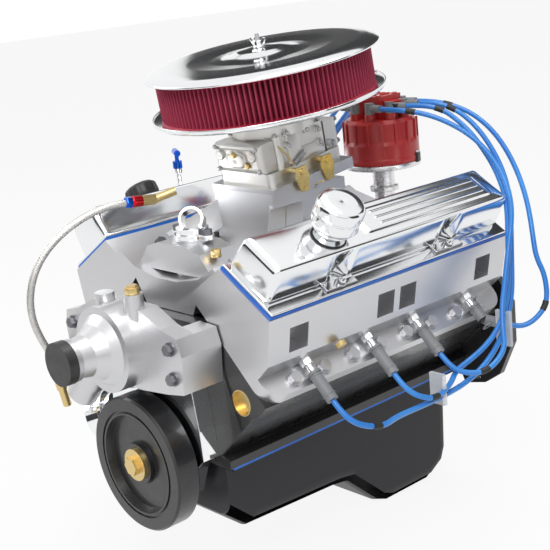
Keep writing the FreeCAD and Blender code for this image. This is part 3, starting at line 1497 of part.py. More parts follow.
def make_spark_plugs():
    """Plugs screwed into the lower face of each head, with their straight boots."""
    plugs, boots = [], []
    for side in (LEFT, RIGHT):
        for number in range(4):
            y = float(plug_place(number))
            out = (1, 0, 0)
            plug = rod(7, 19, (22, y, PLUG_LIFT), out).fuse([
                moved(hexagon(16, 10), PLUG_FACE_X + 1, y, PLUG_LIFT, spin_y(90)),
                rod(5, PLUG_TIP - PLUG_FACE_X - 11, (PLUG_FACE_X + 11, y, PLUG_LIFT), out)])
            plugs.append(on_head(side, plug))
            length = BOOT_ELBOW if number == 3 - (side < 0) * 3 else BOOT_END - 0.3
            boot = rod(8.5, length - PLUG_TIP, (PLUG_TIP, y, PLUG_LIFT), out)
            boot = boot.fuse(rod(10, 4, (PLUG_TIP, y, PLUG_LIFT), out))
            if length == BOOT_ELBOW:
                corner = (BOOT_ELBOW, y, PLUG_LIFT)
                way = head_turn(side).inverted().multVec(Vector(0.72 * side, 0.62, -0.3))
                boot = boot.fuse([Part.makeSphere(8.5, Vector(*corner)), rod(8, BOOT_TAIL - 0.4, corner, way)])
            boots.append(on_head(side, boot))
    group("spark_plugs", plugs)
    return boots


# The towers stand round the cap; each boot bends over and points at its lead.
TOWER_RING = 42.0
TOWER_TOP = 422.0
BOOT_LEVEL = 432.0
BOOT_REACH = 28.0
# Angle of each tower and the way its lead leaves, front cylinder first.
TOWERS = ((22.5, 20), (-22.5, 25), (-67.5, -5), (67.5, 10))


def boot_exit(angle, aim, side):
    """Where a tower's boot stands, and where its lead leaves it."""
    turn, way = math.radians(angle), math.radians(aim)
    x = DISTRIBUTOR_X + side * TOWER_RING * math.cos(turn)
    y = -float(D.distributor_station) + TOWER_RING * math.sin(turn)
    reach = Vector(side * math.cos(way), math.sin(way), 0)
    return Vector(x, y, BOOT_LEVEL), reach


def make_tower_boots():
    boots = []
    for side in (LEFT, RIGHT):
        for angle, aim in TOWERS:
            corner, reach = boot_exit(angle, aim, side)
            upright = rod(7.5, BOOT_LEVEL - TOWER_TOP + 8, (corner.x, corner.y, TOWER_TOP))
            boots.append(upright.fuse(rod(6, BOOT_REACH - 0.4, corner, reach)))
    return boots


# Lead routes from each plug boot, round the rear of the cover, to the cap.
LEADS = {
    1: [(263.2, -451.4, 107.6), (280.4, -451.4, 90.4), (295.4, -437, 73.9), (303.5, -402.1, 62.1),
        (296.6, -367.5, 62.4), (293.7, -337.4, 60.3), (292.4, -307.3, 58.5), (291.4, -277, 57.6),
        (290.6, -246.7, 57.7), (290.2, -216.6, 59.8), (290, -187.1, 66.1), (289.7, -158.9, 77),
        (288.9, -133.4, 93), (287.6, -111.6, 113.8), (285.9, -94.8, 138.8), (283, -83.1, 166.4),
        (278.4, -75.2, 195.3), (271.8, -65.6, 223.2), (263.4, -53, 249.3), (252.7, -38.5, 273.6),
        (239.7, -22.9, 296.1), (223.9, -9.8, 318.3), (205.7, 0.4, 340.2), (185.8, 7.3, 361.9),
        (164.6, 11.3, 383.2), (141.9, 11.6, 403.1), (117.4, 6.6, 420.2), (92.9, -8.2, 432),
        (65.1, -18.4, 432)],
    2: [(-263.2, -429, 107.6), (-280.5, -429, 90.3), (-295.5, -414.5, 73.8), (-303.5, -379.3, 62),
        (-296.6, -344.4, 62.3), (-293.6, -314.1, 60.2), (-292.4, -283.7, 58.4), (-291.3, -253.2, 57.6),
        (-290.6, -222.7, 57.7), (-290.2, -192.4, 60), (-290, -162.7, 66.6), (-289.6, -134.5, 78),
        (-288.8, -109, 94.6), (-287.5, -87.5, 115.9), (-285.7, -71, 141.4), (-282.5, -59.8, 169.5),
        (-277.8, -51.7, 198.5), (-271.2, -39.8, 225.7), (-263, -24.3, 250.6), (-252.5, -8.1, 274.2),
        (-239.3, 7.5, 296.8), (-222.3, 16.7, 320.3), (-202.9, 20, 343.5), (-182.2, 23.1, 365.7),
        (-160.7, 26.4, 387.1), (-137.4, 23.3, 406.5), (-113.4, 13.7, 422.6), (-92.7, -8.3, 432),
        (-65.1, -18.4, 432)],
    3: [(263.2, -330.9, 107.6), (280.2, -330.9, 90.7), (293.8, -318, 75.6), (301.8, -290, 64.4),
        (292.2, -246.8, 69.3), (280.2, -218.9, 80), (280.6, -188.9, 86.2), (284.2, -160.2, 96.4),
        (287.2, -134.1, 112.4), (288, -113.3, 135), (286.4, -99.1, 162.2), (282.4, -89.8, 191.2),
        (276.3, -80, 219.7), (268.1, -67.6, 246.6), (257.4, -52.7, 271.3), (244.4, -38.1, 295),
        (227.9, -28.3, 319.1), (209.5, -21.8, 342.8), (189.1, -18.5, 365.6), (167.5, -16.9, 387.4),
        (143.3, -17.6, 406.4), (117.6, -20.7, 422.9), (91.7, -35.4, 432), (64.2, -48.2, 432)],
    4: [(-263.2, -308.5, 107.6), (-280.2, -308.5, 90.7), (-294.2, -295.3, 75.1),
        (-303.1, -262.8, 62.6), (-292.1, -223.6, 69.4), (-280.7, -196.6, 79.7), (-280.8, -166.4, 86.4),
        (-284.3, -137.3, 96.8), (-287.2, -111.1, 113.2), (-287.9, -90.3, 136.2),
        (-286.2, -76.3, 163.8), (-282.1, -66.5, 193), (-275.9, -54.6, 221), (-268, -39.2, 246.8),
        (-257.5, -23, 271.1), (-244, -9.4, 295.6), (-226.6, -5.1, 320.9), (-207.4, -4.7, 345.3),
        (-186.5, -3.4, 368.3), (-164.4, -2.6, 390.2), (-139.9, -6.8, 408.8), (-114.2, -14.3, 424.6),
        (-91.8, -35.4, 432), (-64.2, -48.2, 432)],
    5: [(263.2, -231.9, 107.6), (280.2, -231.9, 90.7), (298.4, -219.3, 79.2), (316.2, -190.4, 77),
        (317.5, -149.8, 97.7), (301.7, -133.5, 122.6), (292.3, -120.7, 150.6), (288.5, -108, 180),
        (284.9, -95.7, 209.6), (280, -81.3, 238.1), (273, -64.2, 264.5), (262.1, -47.8, 290.1),
        (246.7, -36.6, 316.1), (227.7, -30.7, 341.4), (205.5, -29.6, 364.9), (181.5, -33.2, 386.1),
        (156.4, -43.2, 403.6), (130.4, -56.1, 417.8), (103.1, -70.4, 427.3), (74.4, -87.9, 432),
        (44, -85.2, 432)],
    6: [(-263.2, -209.5, 107.6), (-280.2, -209.5, 90.7), (-297.7, -197.3, 79.4), (-314, -170.8, 76.9),
        (-317.2, -130.4, 94.7), (-301.9, -112.9, 119.2), (-292.5, -100.4, 146.3), (-285.8, -74.8, 203),
        (-281.8, -59.5, 229.9), (-276.1, -41.8, 255.1), (-267.5, -24, 279.3), (-254.3, -10.6, 304.3),
        (-237.4, -3.1, 329.5), (-217.1, -4.1, 353.2), (-195.4, -10.9, 374.6), (-172.7, -22.3, 392.9),
        (-149.6, -36.9, 408), (-125, -52, 420.1), (-101.1, -70.2, 428.7), (-73.4, -87.8, 432),
        (-44, -85.2, 432)],
    7: [(269.3, -92.7, 114.1), (286.6, -77.8, 106.9), (301.9, -59.7, 112.6), (313.6, -37.4, 137.2),
        (305.1, -29.1, 178.5), (290.8, -30.9, 206.1), (281, -23.2, 234.6), (269.5, -12.6, 261.5),
        (255.3, -1.2, 286.8), (238.5, 9.8, 310.5), (219.8, 19.7, 333.3), (199.3, 27.5, 355.4),
        (177.1, 32.6, 376.7), (152.6, 34.2, 395.8), (126.2, 31.4, 412), (98.6, 22.9, 423.7),
        (73.3, 4.9, 432), (43.6, -0.3, 432)],
    8: [(-269.3, -70.3, 114.1), (-286.6, -55.4, 106.9), (-301.9, -37.3, 112.6), (-312.8, -16.6, 135.3),
        (-305.6, -6.3, 178.2), (-290.5, -8.5, 206.8), (-280.7, -0.6, 235.3), (-269.1, 10.1, 262.3),
        (-254.7, 21.3, 287.7), (-237.7, 31.8, 311.7), (-218.4, 40.1, 334.8), (-197.2, 43.9, 357.5),
        (-174.5, 44, 379), (-149.7, 42.2, 397.9), (-123.1, 37.6, 413.7), (-95.9, 27.1, 424.7),
        (-72.9, 4.8, 432), (-43.6, -0.3, 432)],
}


def swept_tube(points, radius, label):
    """A tube along straight runs joined by tangent arcs, with its size checked."""
    spots = [Vector(*map(float, point)) for point in points]
    edges, here, smallest = [], spots[0], 1e9
    for before, corner, after in zip(spots, spots[1:], spots[2:]):
        back, ahead = before - corner, after - corner
        half_turn = (math.pi - back.getAngle(ahead)) / 2
        run = min(back.Length, ahead.Length)
        bend = 0.45 * run / math.tan(half_turn)
        smallest = min(smallest, bend)
        back.normalize()
        ahead.normalize()
        enter, leave = corner + back * (0.45 * run), corner + ahead * (0.45 * run)
        middle = corner + (back + ahead).normalize() * (bend / math.cos(half_turn) - bend)
        edges += [Part.LineSegment(here, enter).toShape(), Part.Arc(enter, middle, leave).toShape()]
        here = leave
    edges.append(Part.LineSegment(here, spots[-1]).toShape())
    path = Part.Wire(edges)
    end = Part.Wire(Part.Circle(spots[0], spots[1] - spots[0], radius).toShape())
    tube = path.makePipeShell([end], True, True)
    ideal = math.pi * radius ** 2 * path.Length
    if not tube.isValid() or abs(tube.Volume - ideal) > 0.01 * ideal:
        raise ValueError(label + " is not a sound tube")
    print("%s: length %.0f, tightest bend %.0f" % (label, path.Length, smallest))
    return tube


def make_leads():
    """Eight ignition leads, their boots at both ends, and the combs that hold them apart."""
    boots = make_spark_plugs() + make_tower_boots()
    radius = float(D.wire_diameter) / 2
    tubes = [swept_tube(route, radius, "lead %d" % number) for number, route in LEADS.items()]
    group("plug_wires", tubes)
    group("plug_boots", boots)
    combs = []
    for side, y in ((LEFT, -266), (LEFT, -110), (RIGHT, -244), (RIGHT, -88)):
        low, high = (46, 92) if y < -200 else (88, 142)
        comb = Part.makeBox(26, 6, high - low, Vector(286 * side - 13, y - 3, low))
        combs.append(comb.cut([swept_tube(route, radius + 0.2, "comb hole") for route in LEADS.values()
                               if route[0][0] * side > 0]))
    group("wire_separators", combs)


HOSE_ROUTE = [(-92, -470, 352), (-97.3, -508.4, 355.2), (-107.6, -546.2, 349.8),
    (-117.6, -581.4, 335.6), (-127.2, -612.7, 314), (-136, -636.8, 284.4), (-143.6, -648.9, 247.9),
    (-150.9, -647.8, 209.4), (-158.8, -634.6, 173.3), (-170.2, -614.6, 140), (-174, -606, 102)]
DIPSTICK_ROUTE = [(-130, -262, 6), (-163.4, -262, 12.7), (-215, -263, 62), (-236.9, -263, 88.6),
    (-252.6, -263, 119.4), (-263.7, -263.2, 152.1), (-268.3, -263.9, 186.4), (-269, -264, 220.9),
    (-269, -264, 290)]


def make_fuel_line():
    """The braided hose from the fuel pump, round the water pump, with its end fittings."""
    radius = float(D.hose_diameter) / 2
    hose = DOC.addObject("Part::Feature", "fuel_hose")
    hose.Shape = swept_tube(HOSE_ROUTE, radius, "fuel hose")
    node(hose)
    top, bottom = Vector(*HOSE_ROUTE[0]), Vector(*HOSE_ROUTE[-1])
    back = (top - Vector(*HOSE_ROUTE[1])).normalize()
    down = (bottom - Vector(*HOSE_ROUTE[-2])).normalize()
    elbow = top + back * 22
    upper = rod(8, 22, top, back).fuse([Part.makeSphere(7.5, elbow), rod(6.5, 34, elbow, (0.45, 0.85, 0.25))])
    lower = rod(8, 24, bottom, down).fuse(rod(6.5, 30, bottom + down * 24, down))
    return [upper, lower]


def make_dipstick():
    """A guide tube up the right side of the engine and the stick that lifts out of it."""
    turn = Vector(*DIPSTICK_ROUTE[-1]) + Vector(0, 0, 60)
    tube = swept_tube(DIPSTICK_ROUTE, 4.5, "dipstick tube")
    straight = rod(4.5, 60, turn - Vector(0, 0, 60)).fuse(rod(7, 8, turn - Vector(0, 0, 8)))
    bore = rod(3, 110, turn - Vector(0, 0, 100))
    made = DOC.addObject("Part::Feature", "dipstick_tube")
    made.Shape = tube.fuse(straight).cut(bore)
    node(made)
    stick = rod(2.95, 85, turn - Vector(0, 0, 84)).fuse([rod(8, 12, turn + Vector(0, 0, 0.3)), rod(3.5, 14, turn + Vector(0, 0, 12)),
                                                        rod(5.5, 30, turn + Vector(-13, 7, 27), (0.87, -0.49, 0))])
    made = DOC.addObject("Part::Feature", "oil_dipstick")
    made.Shape = stick
    node(made)


def make_oil_pump():
    """A gear pump under the rear main cap with its pickup in the sump."""
    housing = Part.makeBox(70, 66, 36, Vector(-35, -106, -120))
    neck = Part.makeBox(36, 14, 26, Vector(-18, -55, -84))
    pickup = rod(8, 56, (0, -96, -172)).fuse(rod(30, 8, (0, -96, -178)))
    made = DOC.addObject("Part::Feature", "oil_pump")
    made.Shape = housing.fuse([neck, pickup])
    return node(made)


def make_plugs(cups):
    """Core plugs in the front of the block, and the brass and hose fittings."""
    radius = float(D.core_plug) / 2
    for side in (LEFT, RIGHT):
        y = -float(bank_rear(side) + D.head_length)
        z = float(D.core_plug_height)
        cup = rod(radius, 11, (165 * side, y, z), (0, 1, 0)).cut(rod(radius - 2, 9, (165 * side, y - 1, z), (0, 1, 0)))
        cups.append(cup)
    top = 260.0
    cups.append(rod(9, 6, (36, -float(D.block_length) - 62, top)).fuse(moved(hexagon(14, 12), 36, -float(D.block_length) - 62, top)))
    return group("fittings", cups)


def make_flange_bolts(heads):
    """Bolts of the valve covers, manifold, water outlet and water pump."""
    for side in (LEFT, RIGHT):
        for step in INLET_BOLTS:
            x, z = rail_line(side, INLET_BOLT_LIFT, gap=INLET_FLANGE)
            head = hexagon(14, 9).fuse(rod(10, 2))
            y = -float(head_middle(side)) + step * side
            heads.append(moved(head, x, y, z, spin_y((INLET_TILT - 45) * side)))
        for z in (154, 196):
            head = moved(hexagon(14, 9).fuse(rod(10, 2)), 116 * side, -float(D.block_length) - 68, z, spin_x(90))
            heads.append(head)
    for x in (-34, 34):
        heads.append(moved(hexagon(13, 8), x, -OUTLET_STATION, OUTLET_SEAT + 7))
    return group("flange_bolts", heads)


for bank, bank_side in BANKS.items():
    make_head(bank + "_head", bank_side)
    make_valve_cover(bank + "_valve_cover", bank_side)
make_head_bolts()
make_valve_gear()
make_lifters()
COVER_GASKETS, COVER_BOLTS = make_cover_trim()
make_caps_on_covers()
make_manifold()
make_water_outlet()
make_carburettor()
make_air_cleaner()
make_distributor()
make_water_pump()
make_fuel_pump()
make_oil_pan()
make_pan_gasket(COVER_GASKETS)
make_leads()
make_plugs(make_fuel_line())
make_dipstick()
make_oil_pump()
make_flange_bolts(COVER_BOLTS)


# ---------------------------------------------------------------- writing the pieces


def faults():
    """Objects that failed to rebuild, and pieces with no sound solid."""
    DOC.recompute()
    found = []
    for obj in DOC.Objects:
        if "Invalid" in obj.State or "Error" in obj.State:
            found.append(obj.Name + " failed")
    for piece in NODES:
        if piece.Shape.isNull() or not piece.Shape.isValid() or not piece.Shape.Solids:
            found.append(piece.Label + " has no sound solid")
    return found


def write_pieces():
    os.makedirs("parts", exist_ok=True)
    problems = faults()
    if problems:
        raise ValueError("; ".join(problems))
    for piece in NODES:
        piece.Shape.exportStep(os.path.join("parts", piece.Label + ".step"))


write_pieces()
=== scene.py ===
"""Visual model of a complete carburetted V8 engine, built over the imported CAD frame."""

import logging
import math
from dataclasses import dataclass
from enum import Enum
from typing import Callable, Iterable, Optional, Sequence

import bmesh
import bpy
from mathutils import Matrix, Vector


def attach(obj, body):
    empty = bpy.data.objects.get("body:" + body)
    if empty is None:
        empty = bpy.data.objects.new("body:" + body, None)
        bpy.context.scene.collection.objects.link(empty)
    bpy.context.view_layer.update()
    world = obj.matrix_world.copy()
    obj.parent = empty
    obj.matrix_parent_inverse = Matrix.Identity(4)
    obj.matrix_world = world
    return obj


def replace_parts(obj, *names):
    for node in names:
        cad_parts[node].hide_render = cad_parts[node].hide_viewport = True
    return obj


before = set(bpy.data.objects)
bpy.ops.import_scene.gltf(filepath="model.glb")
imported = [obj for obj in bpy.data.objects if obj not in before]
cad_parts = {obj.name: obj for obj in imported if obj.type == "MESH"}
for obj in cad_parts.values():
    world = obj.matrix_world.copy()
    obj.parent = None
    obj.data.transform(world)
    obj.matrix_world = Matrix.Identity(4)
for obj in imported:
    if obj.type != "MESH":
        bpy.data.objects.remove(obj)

LOG = logging.getLogger("engine")
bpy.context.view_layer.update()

Point = tuple[float, float, float]
Route = tuple[Point, ...]
Profile = Sequence[tuple[float, float]]
Socket = bpy.types.NodeSocket

MM = 0.001
SIDES = (1, -1)  # the left and the right bank

LEAD_ROUTES: dict[int, Route] = {
    1: ((0.2632, -0.4514, 0.1076), (0.2804, -0.4514, 0.0904), (0.2954, -0.4370, 0.0739),
        (0.3035, -0.4021, 0.0621), (0.2966, -0.3675, 0.0624), (0.2937, -0.3374, 0.0603),
        (0.2924, -0.3073, 0.0585), (0.2914, -0.2770, 0.0576), (0.2906, -0.2467, 0.0577),
        (0.2902, -0.2166, 0.0598), (0.2900, -0.1871, 0.0661), (0.2897, -0.1589, 0.0770),
        (0.2889, -0.1334, 0.0930), (0.2876, -0.1116, 0.1138), (0.2859, -0.0948, 0.1388),
        (0.2830, -0.0831, 0.1664), (0.2784, -0.0752, 0.1953), (0.2718, -0.0656, 0.2232),
        (0.2634, -0.0530, 0.2493), (0.2527, -0.0385, 0.2736), (0.2397, -0.0229, 0.2961),
        (0.2239, -0.0098, 0.3183), (0.2057, 0.0004, 0.3402), (0.1858, 0.0073, 0.3619),
        (0.1646, 0.0113, 0.3832), (0.1419, 0.0116, 0.4031), (0.1174, 0.0066, 0.4202),
        (0.0929, -0.0082, 0.4320), (0.0651, -0.0184, 0.4320)),
    2: ((-0.2632, -0.4290, 0.1076), (-0.2805, -0.4290, 0.0903), (-0.2955, -0.4145, 0.0738),
        (-0.3035, -0.3793, 0.0620), (-0.2966, -0.3444, 0.0623), (-0.2936, -0.3141, 0.0602),
        (-0.2924, -0.2837, 0.0584), (-0.2913, -0.2532, 0.0576), (-0.2906, -0.2227, 0.0577),
        (-0.2902, -0.1924, 0.0600), (-0.2900, -0.1627, 0.0666), (-0.2896, -0.1345, 0.0780),
        (-0.2888, -0.1090, 0.0946), (-0.2875, -0.0875, 0.1159), (-0.2857, -0.0710, 0.1414),
        (-0.2825, -0.0598, 0.1695), (-0.2778, -0.0517, 0.1985), (-0.2712, -0.0398, 0.2257),
        (-0.2630, -0.0243, 0.2506), (-0.2525, -0.0081, 0.2742), (-0.2393, 0.0075, 0.2968),
        (-0.2223, 0.0167, 0.3203), (-0.2029, 0.0200, 0.3435), (-0.1822, 0.0231, 0.3657),
        (-0.1607, 0.0264, 0.3871), (-0.1374, 0.0233, 0.4065), (-0.1134, 0.0137, 0.4226),
        (-0.0927, -0.0083, 0.4320), (-0.0651, -0.0184, 0.4320)),
    3: ((0.2632, -0.3309, 0.1076), (0.2802, -0.3309, 0.0907), (0.2938, -0.3180, 0.0756),
        (0.3018, -0.2900, 0.0644), (0.2922, -0.2468, 0.0693), (0.2802, -0.2189, 0.0800),
        (0.2806, -0.1889, 0.0862), (0.2842, -0.1602, 0.0964), (0.2872, -0.1341, 0.1124),
        (0.2880, -0.1133, 0.1350), (0.2864, -0.0991, 0.1622), (0.2824, -0.0898, 0.1912),
        (0.2763, -0.0800, 0.2197), (0.2681, -0.0676, 0.2466), (0.2574, -0.0527, 0.2713),
        (0.2444, -0.0381, 0.2950), (0.2279, -0.0283, 0.3191), (0.2095, -0.0218, 0.3428),
        (0.1891, -0.0185, 0.3656), (0.1675, -0.0169, 0.3874), (0.1433, -0.0176, 0.4064),
        (0.1176, -0.0207, 0.4229), (0.0917, -0.0354, 0.4320), (0.0642, -0.0482, 0.4320)),
    4: ((-0.2632, -0.3085, 0.1076), (-0.2802, -0.3085, 0.0907), (-0.2942, -0.2953, 0.0751),
        (-0.3031, -0.2628, 0.0626), (-0.2921, -0.2236, 0.0694), (-0.2807, -0.1966, 0.0797),
        (-0.2808, -0.1664, 0.0864), (-0.2843, -0.1373, 0.0968), (-0.2872, -0.1111, 0.1132),
        (-0.2879, -0.0903, 0.1362), (-0.2862, -0.0763, 0.1638), (-0.2821, -0.0665, 0.1930),
        (-0.2759, -0.0546, 0.2210), (-0.2680, -0.0392, 0.2468), (-0.2575, -0.0230, 0.2711),
        (-0.2440, -0.0094, 0.2956), (-0.2266, -0.0051, 0.3209), (-0.2074, -0.0047, 0.3453),
        (-0.1865, -0.0034, 0.3683), (-0.1644, -0.0026, 0.3902), (-0.1399, -0.0068, 0.4088),
        (-0.1142, -0.0143, 0.4246), (-0.0918, -0.0354, 0.4320), (-0.0642, -0.0482, 0.4320)),
    5: ((0.2632, -0.2319, 0.1076), (0.2802, -0.2319, 0.0907), (0.2984, -0.2193, 0.0792),
        (0.3162, -0.1904, 0.0770), (0.3175, -0.1498, 0.0977), (0.3017, -0.1335, 0.1226),
        (0.2923, -0.1207, 0.1506), (0.2885, -0.1080, 0.1800), (0.2849, -0.0957, 0.2096),
        (0.2800, -0.0813, 0.2381), (0.2730, -0.0642, 0.2645), (0.2621, -0.0478, 0.2901),
        (0.2467, -0.0366, 0.3161), (0.2277, -0.0307, 0.3414), (0.2055, -0.0296, 0.3649),
        (0.1815, -0.0332, 0.3861), (0.1564, -0.0432, 0.4036), (0.1304, -0.0561, 0.4178),
        (0.1031, -0.0704, 0.4273), (0.0744, -0.0879, 0.4320), (0.0440, -0.0852, 0.4320)),
    6: ((-0.2632, -0.2095, 0.1076), (-0.2802, -0.2095, 0.0907), (-0.2977, -0.1973, 0.0794),
        (-0.3140, -0.1708, 0.0769), (-0.3172, -0.1304, 0.0947), (-0.3019, -0.1129, 0.1192),
        (-0.2925, -0.1004, 0.1463), (-0.2858, -0.0748, 0.2030), (-0.2818, -0.0595, 0.2299),
        (-0.2761, -0.0418, 0.2551), (-0.2675, -0.0240, 0.2793), (-0.2543, -0.0106, 0.3043),
        (-0.2374, -0.0031, 0.3295), (-0.2171, -0.0041, 0.3532), (-0.1954, -0.0109, 0.3746),
        (-0.1727, -0.0223, 0.3929), (-0.1496, -0.0369, 0.4080), (-0.1250, -0.0520, 0.4201),
        (-0.1011, -0.0702, 0.4287), (-0.0734, -0.0878, 0.4320), (-0.0440, -0.0852, 0.4320)),
    7: ((0.2693, -0.0927, 0.1141), (0.2866, -0.0778, 0.1069), (0.3019, -0.0597, 0.1126),
        (0.3136, -0.0374, 0.1372), (0.3051, -0.0291, 0.1785), (0.2908, -0.0309, 0.2061),
        (0.2810, -0.0232, 0.2346), (0.2695, -0.0126, 0.2615), (0.2553, -0.0012, 0.2868),
        (0.2385, 0.0098, 0.3105), (0.2198, 0.0197, 0.3333), (0.1993, 0.0275, 0.3554),
        (0.1771, 0.0326, 0.3767), (0.1526, 0.0342, 0.3958), (0.1262, 0.0314, 0.4120),
        (0.0986, 0.0229, 0.4237), (0.0733, 0.0049, 0.4320), (0.0436, -0.0003, 0.4320)),
    8: ((-0.2693, -0.0703, 0.1141), (-0.2866, -0.0554, 0.1069), (-0.3019, -0.0373, 0.1126),
        (-0.3128, -0.0166, 0.1353), (-0.3056, -0.0063, 0.1782), (-0.2905, -0.0085, 0.2068),
        (-0.2807, -0.0006, 0.2353), (-0.2691, 0.0101, 0.2623), (-0.2547, 0.0213, 0.2877),
        (-0.2377, 0.0318, 0.3117), (-0.2184, 0.0401, 0.3348), (-0.1972, 0.0439, 0.3575),
        (-0.1745, 0.0440, 0.3790), (-0.1497, 0.0422, 0.3979), (-0.1231, 0.0376, 0.4137),
        (-0.0959, 0.0271, 0.4247), (-0.0729, 0.0048, 0.4320), (-0.0436, -0.0003, 0.4320)),
}
HOSE_ROUTE: Route = ((-0.0920, -0.4700, 0.3520), (-0.0973, -0.5084, 0.3552),
    (-0.1076, -0.5462, 0.3498), (-0.1176, -0.5814, 0.3356), (-0.1272, -0.6127, 0.3140),
    (-0.1360, -0.6368, 0.2844), (-0.1436, -0.6489, 0.2479), (-0.1509, -0.6478, 0.2094),
    (-0.1588, -0.6346, 0.1733), (-0.1702, -0.6146, 0.1400), (-0.1740, -0.6060, 0.1020))


# ---------------------------------------------------------------- frames


def turn_y(degrees: float) -> Matrix:
    """A turn about Y."""
    return Matrix.Rotation(math.radians(degrees), 4, "Y")


def turn_x(degrees: float) -> Matrix:
    """A turn about X."""
    return Matrix.Rotation(math.radians(degrees), 4, "X")


def turn_z(degrees: float) -> Matrix:
    """A turn about Z."""
    return Matrix.Rotation(math.radians(degrees), 4, "Z")


def shift(x: float, y: float, z: float) -> Matrix:
    """A move in millimetres."""
    return Matrix.Translation(Vector((x, y, z)))


def rail_frame(side: int) -> Matrix:
    """The valve cover rail of a bank: x outward, y along the engine, z square to the rail.

    Args:
        side: 1 for the left bank, and -1 for the right one.

    Returns:
        The frame, in millimetres.
    """
    middle = -281.36 if side > 0 else -259.01
    lean = turn_y(32.19)
    corner = shift(148.0 * side, middle, 292.95)
    return corner @ (lean if side > 0 else turn_z(180) @ lean)


def head_frame(side: int) -> Matrix:
    """A head's own axes: x outward across the deck, z along the bores.

    Args:
        side: 1 for the left bank, and -1 for the right one.

    Returns:
        The frame, in millimetres.
    """
    middle = -281.36 if side > 0 else -259.01
    corner = shift(162.07 * side, middle, 162.07)
    return corner @ (turn_y(45) if side > 0 else turn_z(180) @ turn_y(45))


CARB_FRAME = shift(0, -268, 366) @ turn_x(6.8)
DISTRIBUTOR = shift(0, -44, 0)


# ---------------------------------------------------------------- materials


class Graph:
    """A small wrapper that adds and joins nodes."""

    def __init__(self, tree: bpy.types.NodeTree) -> None:
        """Work on one node tree."""
        self.tree = tree

    def add(self, kind: str, values: Optional[dict] = None,
            **settings: object) -> bpy.types.Node:
        """Add a node.

        Args:
            kind: The node's type name.
            values: Constant values for its input sockets, or sockets to join to them.
            settings: Properties of the node itself.

        Returns:
            The new node.
        """
        made = self.tree.nodes.new(kind)
        for name, value in settings.items():
            setattr(made, name, value)
        for name, value in (values or {}).items():
            self.put(made.inputs[name], value)
        return made

    def put(self, socket: bpy.types.NodeSocket, value: object) -> None:
        """Join a socket to another one, or give it a constant."""
        if isinstance(value, bpy.types.NodeSocket):
            self.tree.links.new(value, socket)
        else:
            socket.default_value = value

    def noise(self, where: object, scale: float, detail: float = 4.0,
              rough: float = 0.55) -> Socket:
        """A noise value between about 0 and 1."""
        made = self.add("ShaderNodeTexNoise", {"Vector": where, "Scale": scale,
                                               "Detail": detail, "Roughness": rough})
        return made.outputs["Fac"]

    def span(self, value: object, low: float, high: float, start: float = 0.3,
             end: float = 0.7) -> Socket:
        """Map a value from one span to another.

        Args:
            value: The socket that is mapped.
            low: The result at the start of the first span.
            high: The result at its end.
            start: Where the first span starts.
            end: Where the first span ends.

        Returns:
            The mapped value.
        """
        made = self.add("ShaderNodeMapRange", {"Value": value, "From Min": start, "From Max": end,
                                               "To Min": low, "To Max": high})
        return made.outputs["Result"]

    def maths(self, operation: str, first: object, second: object) -> Socket:
        """One sum of two values."""
        return self.add("ShaderNodeMath", {0: first, 1: second}, operation=operation).outputs[0]

    def seen(self) -> Socket:
        """1 for camera, glossy and transmission rays, and 0 for light that falls on the object."""
        rays = self.add("ShaderNodeLightPath").outputs
        direct = self.maths("MAXIMUM", rays["Is Camera Ray"], rays["Is Glossy Ray"])
        return self.maths("MAXIMUM", direct, rays["Is Transmission Ray"])

    def blend(self, factor: object, first: object, second: object) -> Socket:
        """Mix two colours."""
        made = self.add("ShaderNodeMix", data_type="RGBA", blend_type="MIX")
        self.put(made.inputs[0], factor)
        self.put(made.inputs[6], first)
        self.put(made.inputs[7], second)
        return made.outputs[2]


class Texture(Enum):
    """The kinds of surface relief."""

    SMOOTH = "smooth"
    CAST = "cast"
    BRUSHED = "brushed"
    MOULDED = "moulded"
    RIPPLED = "rippled"
    WEAVE = "weave"


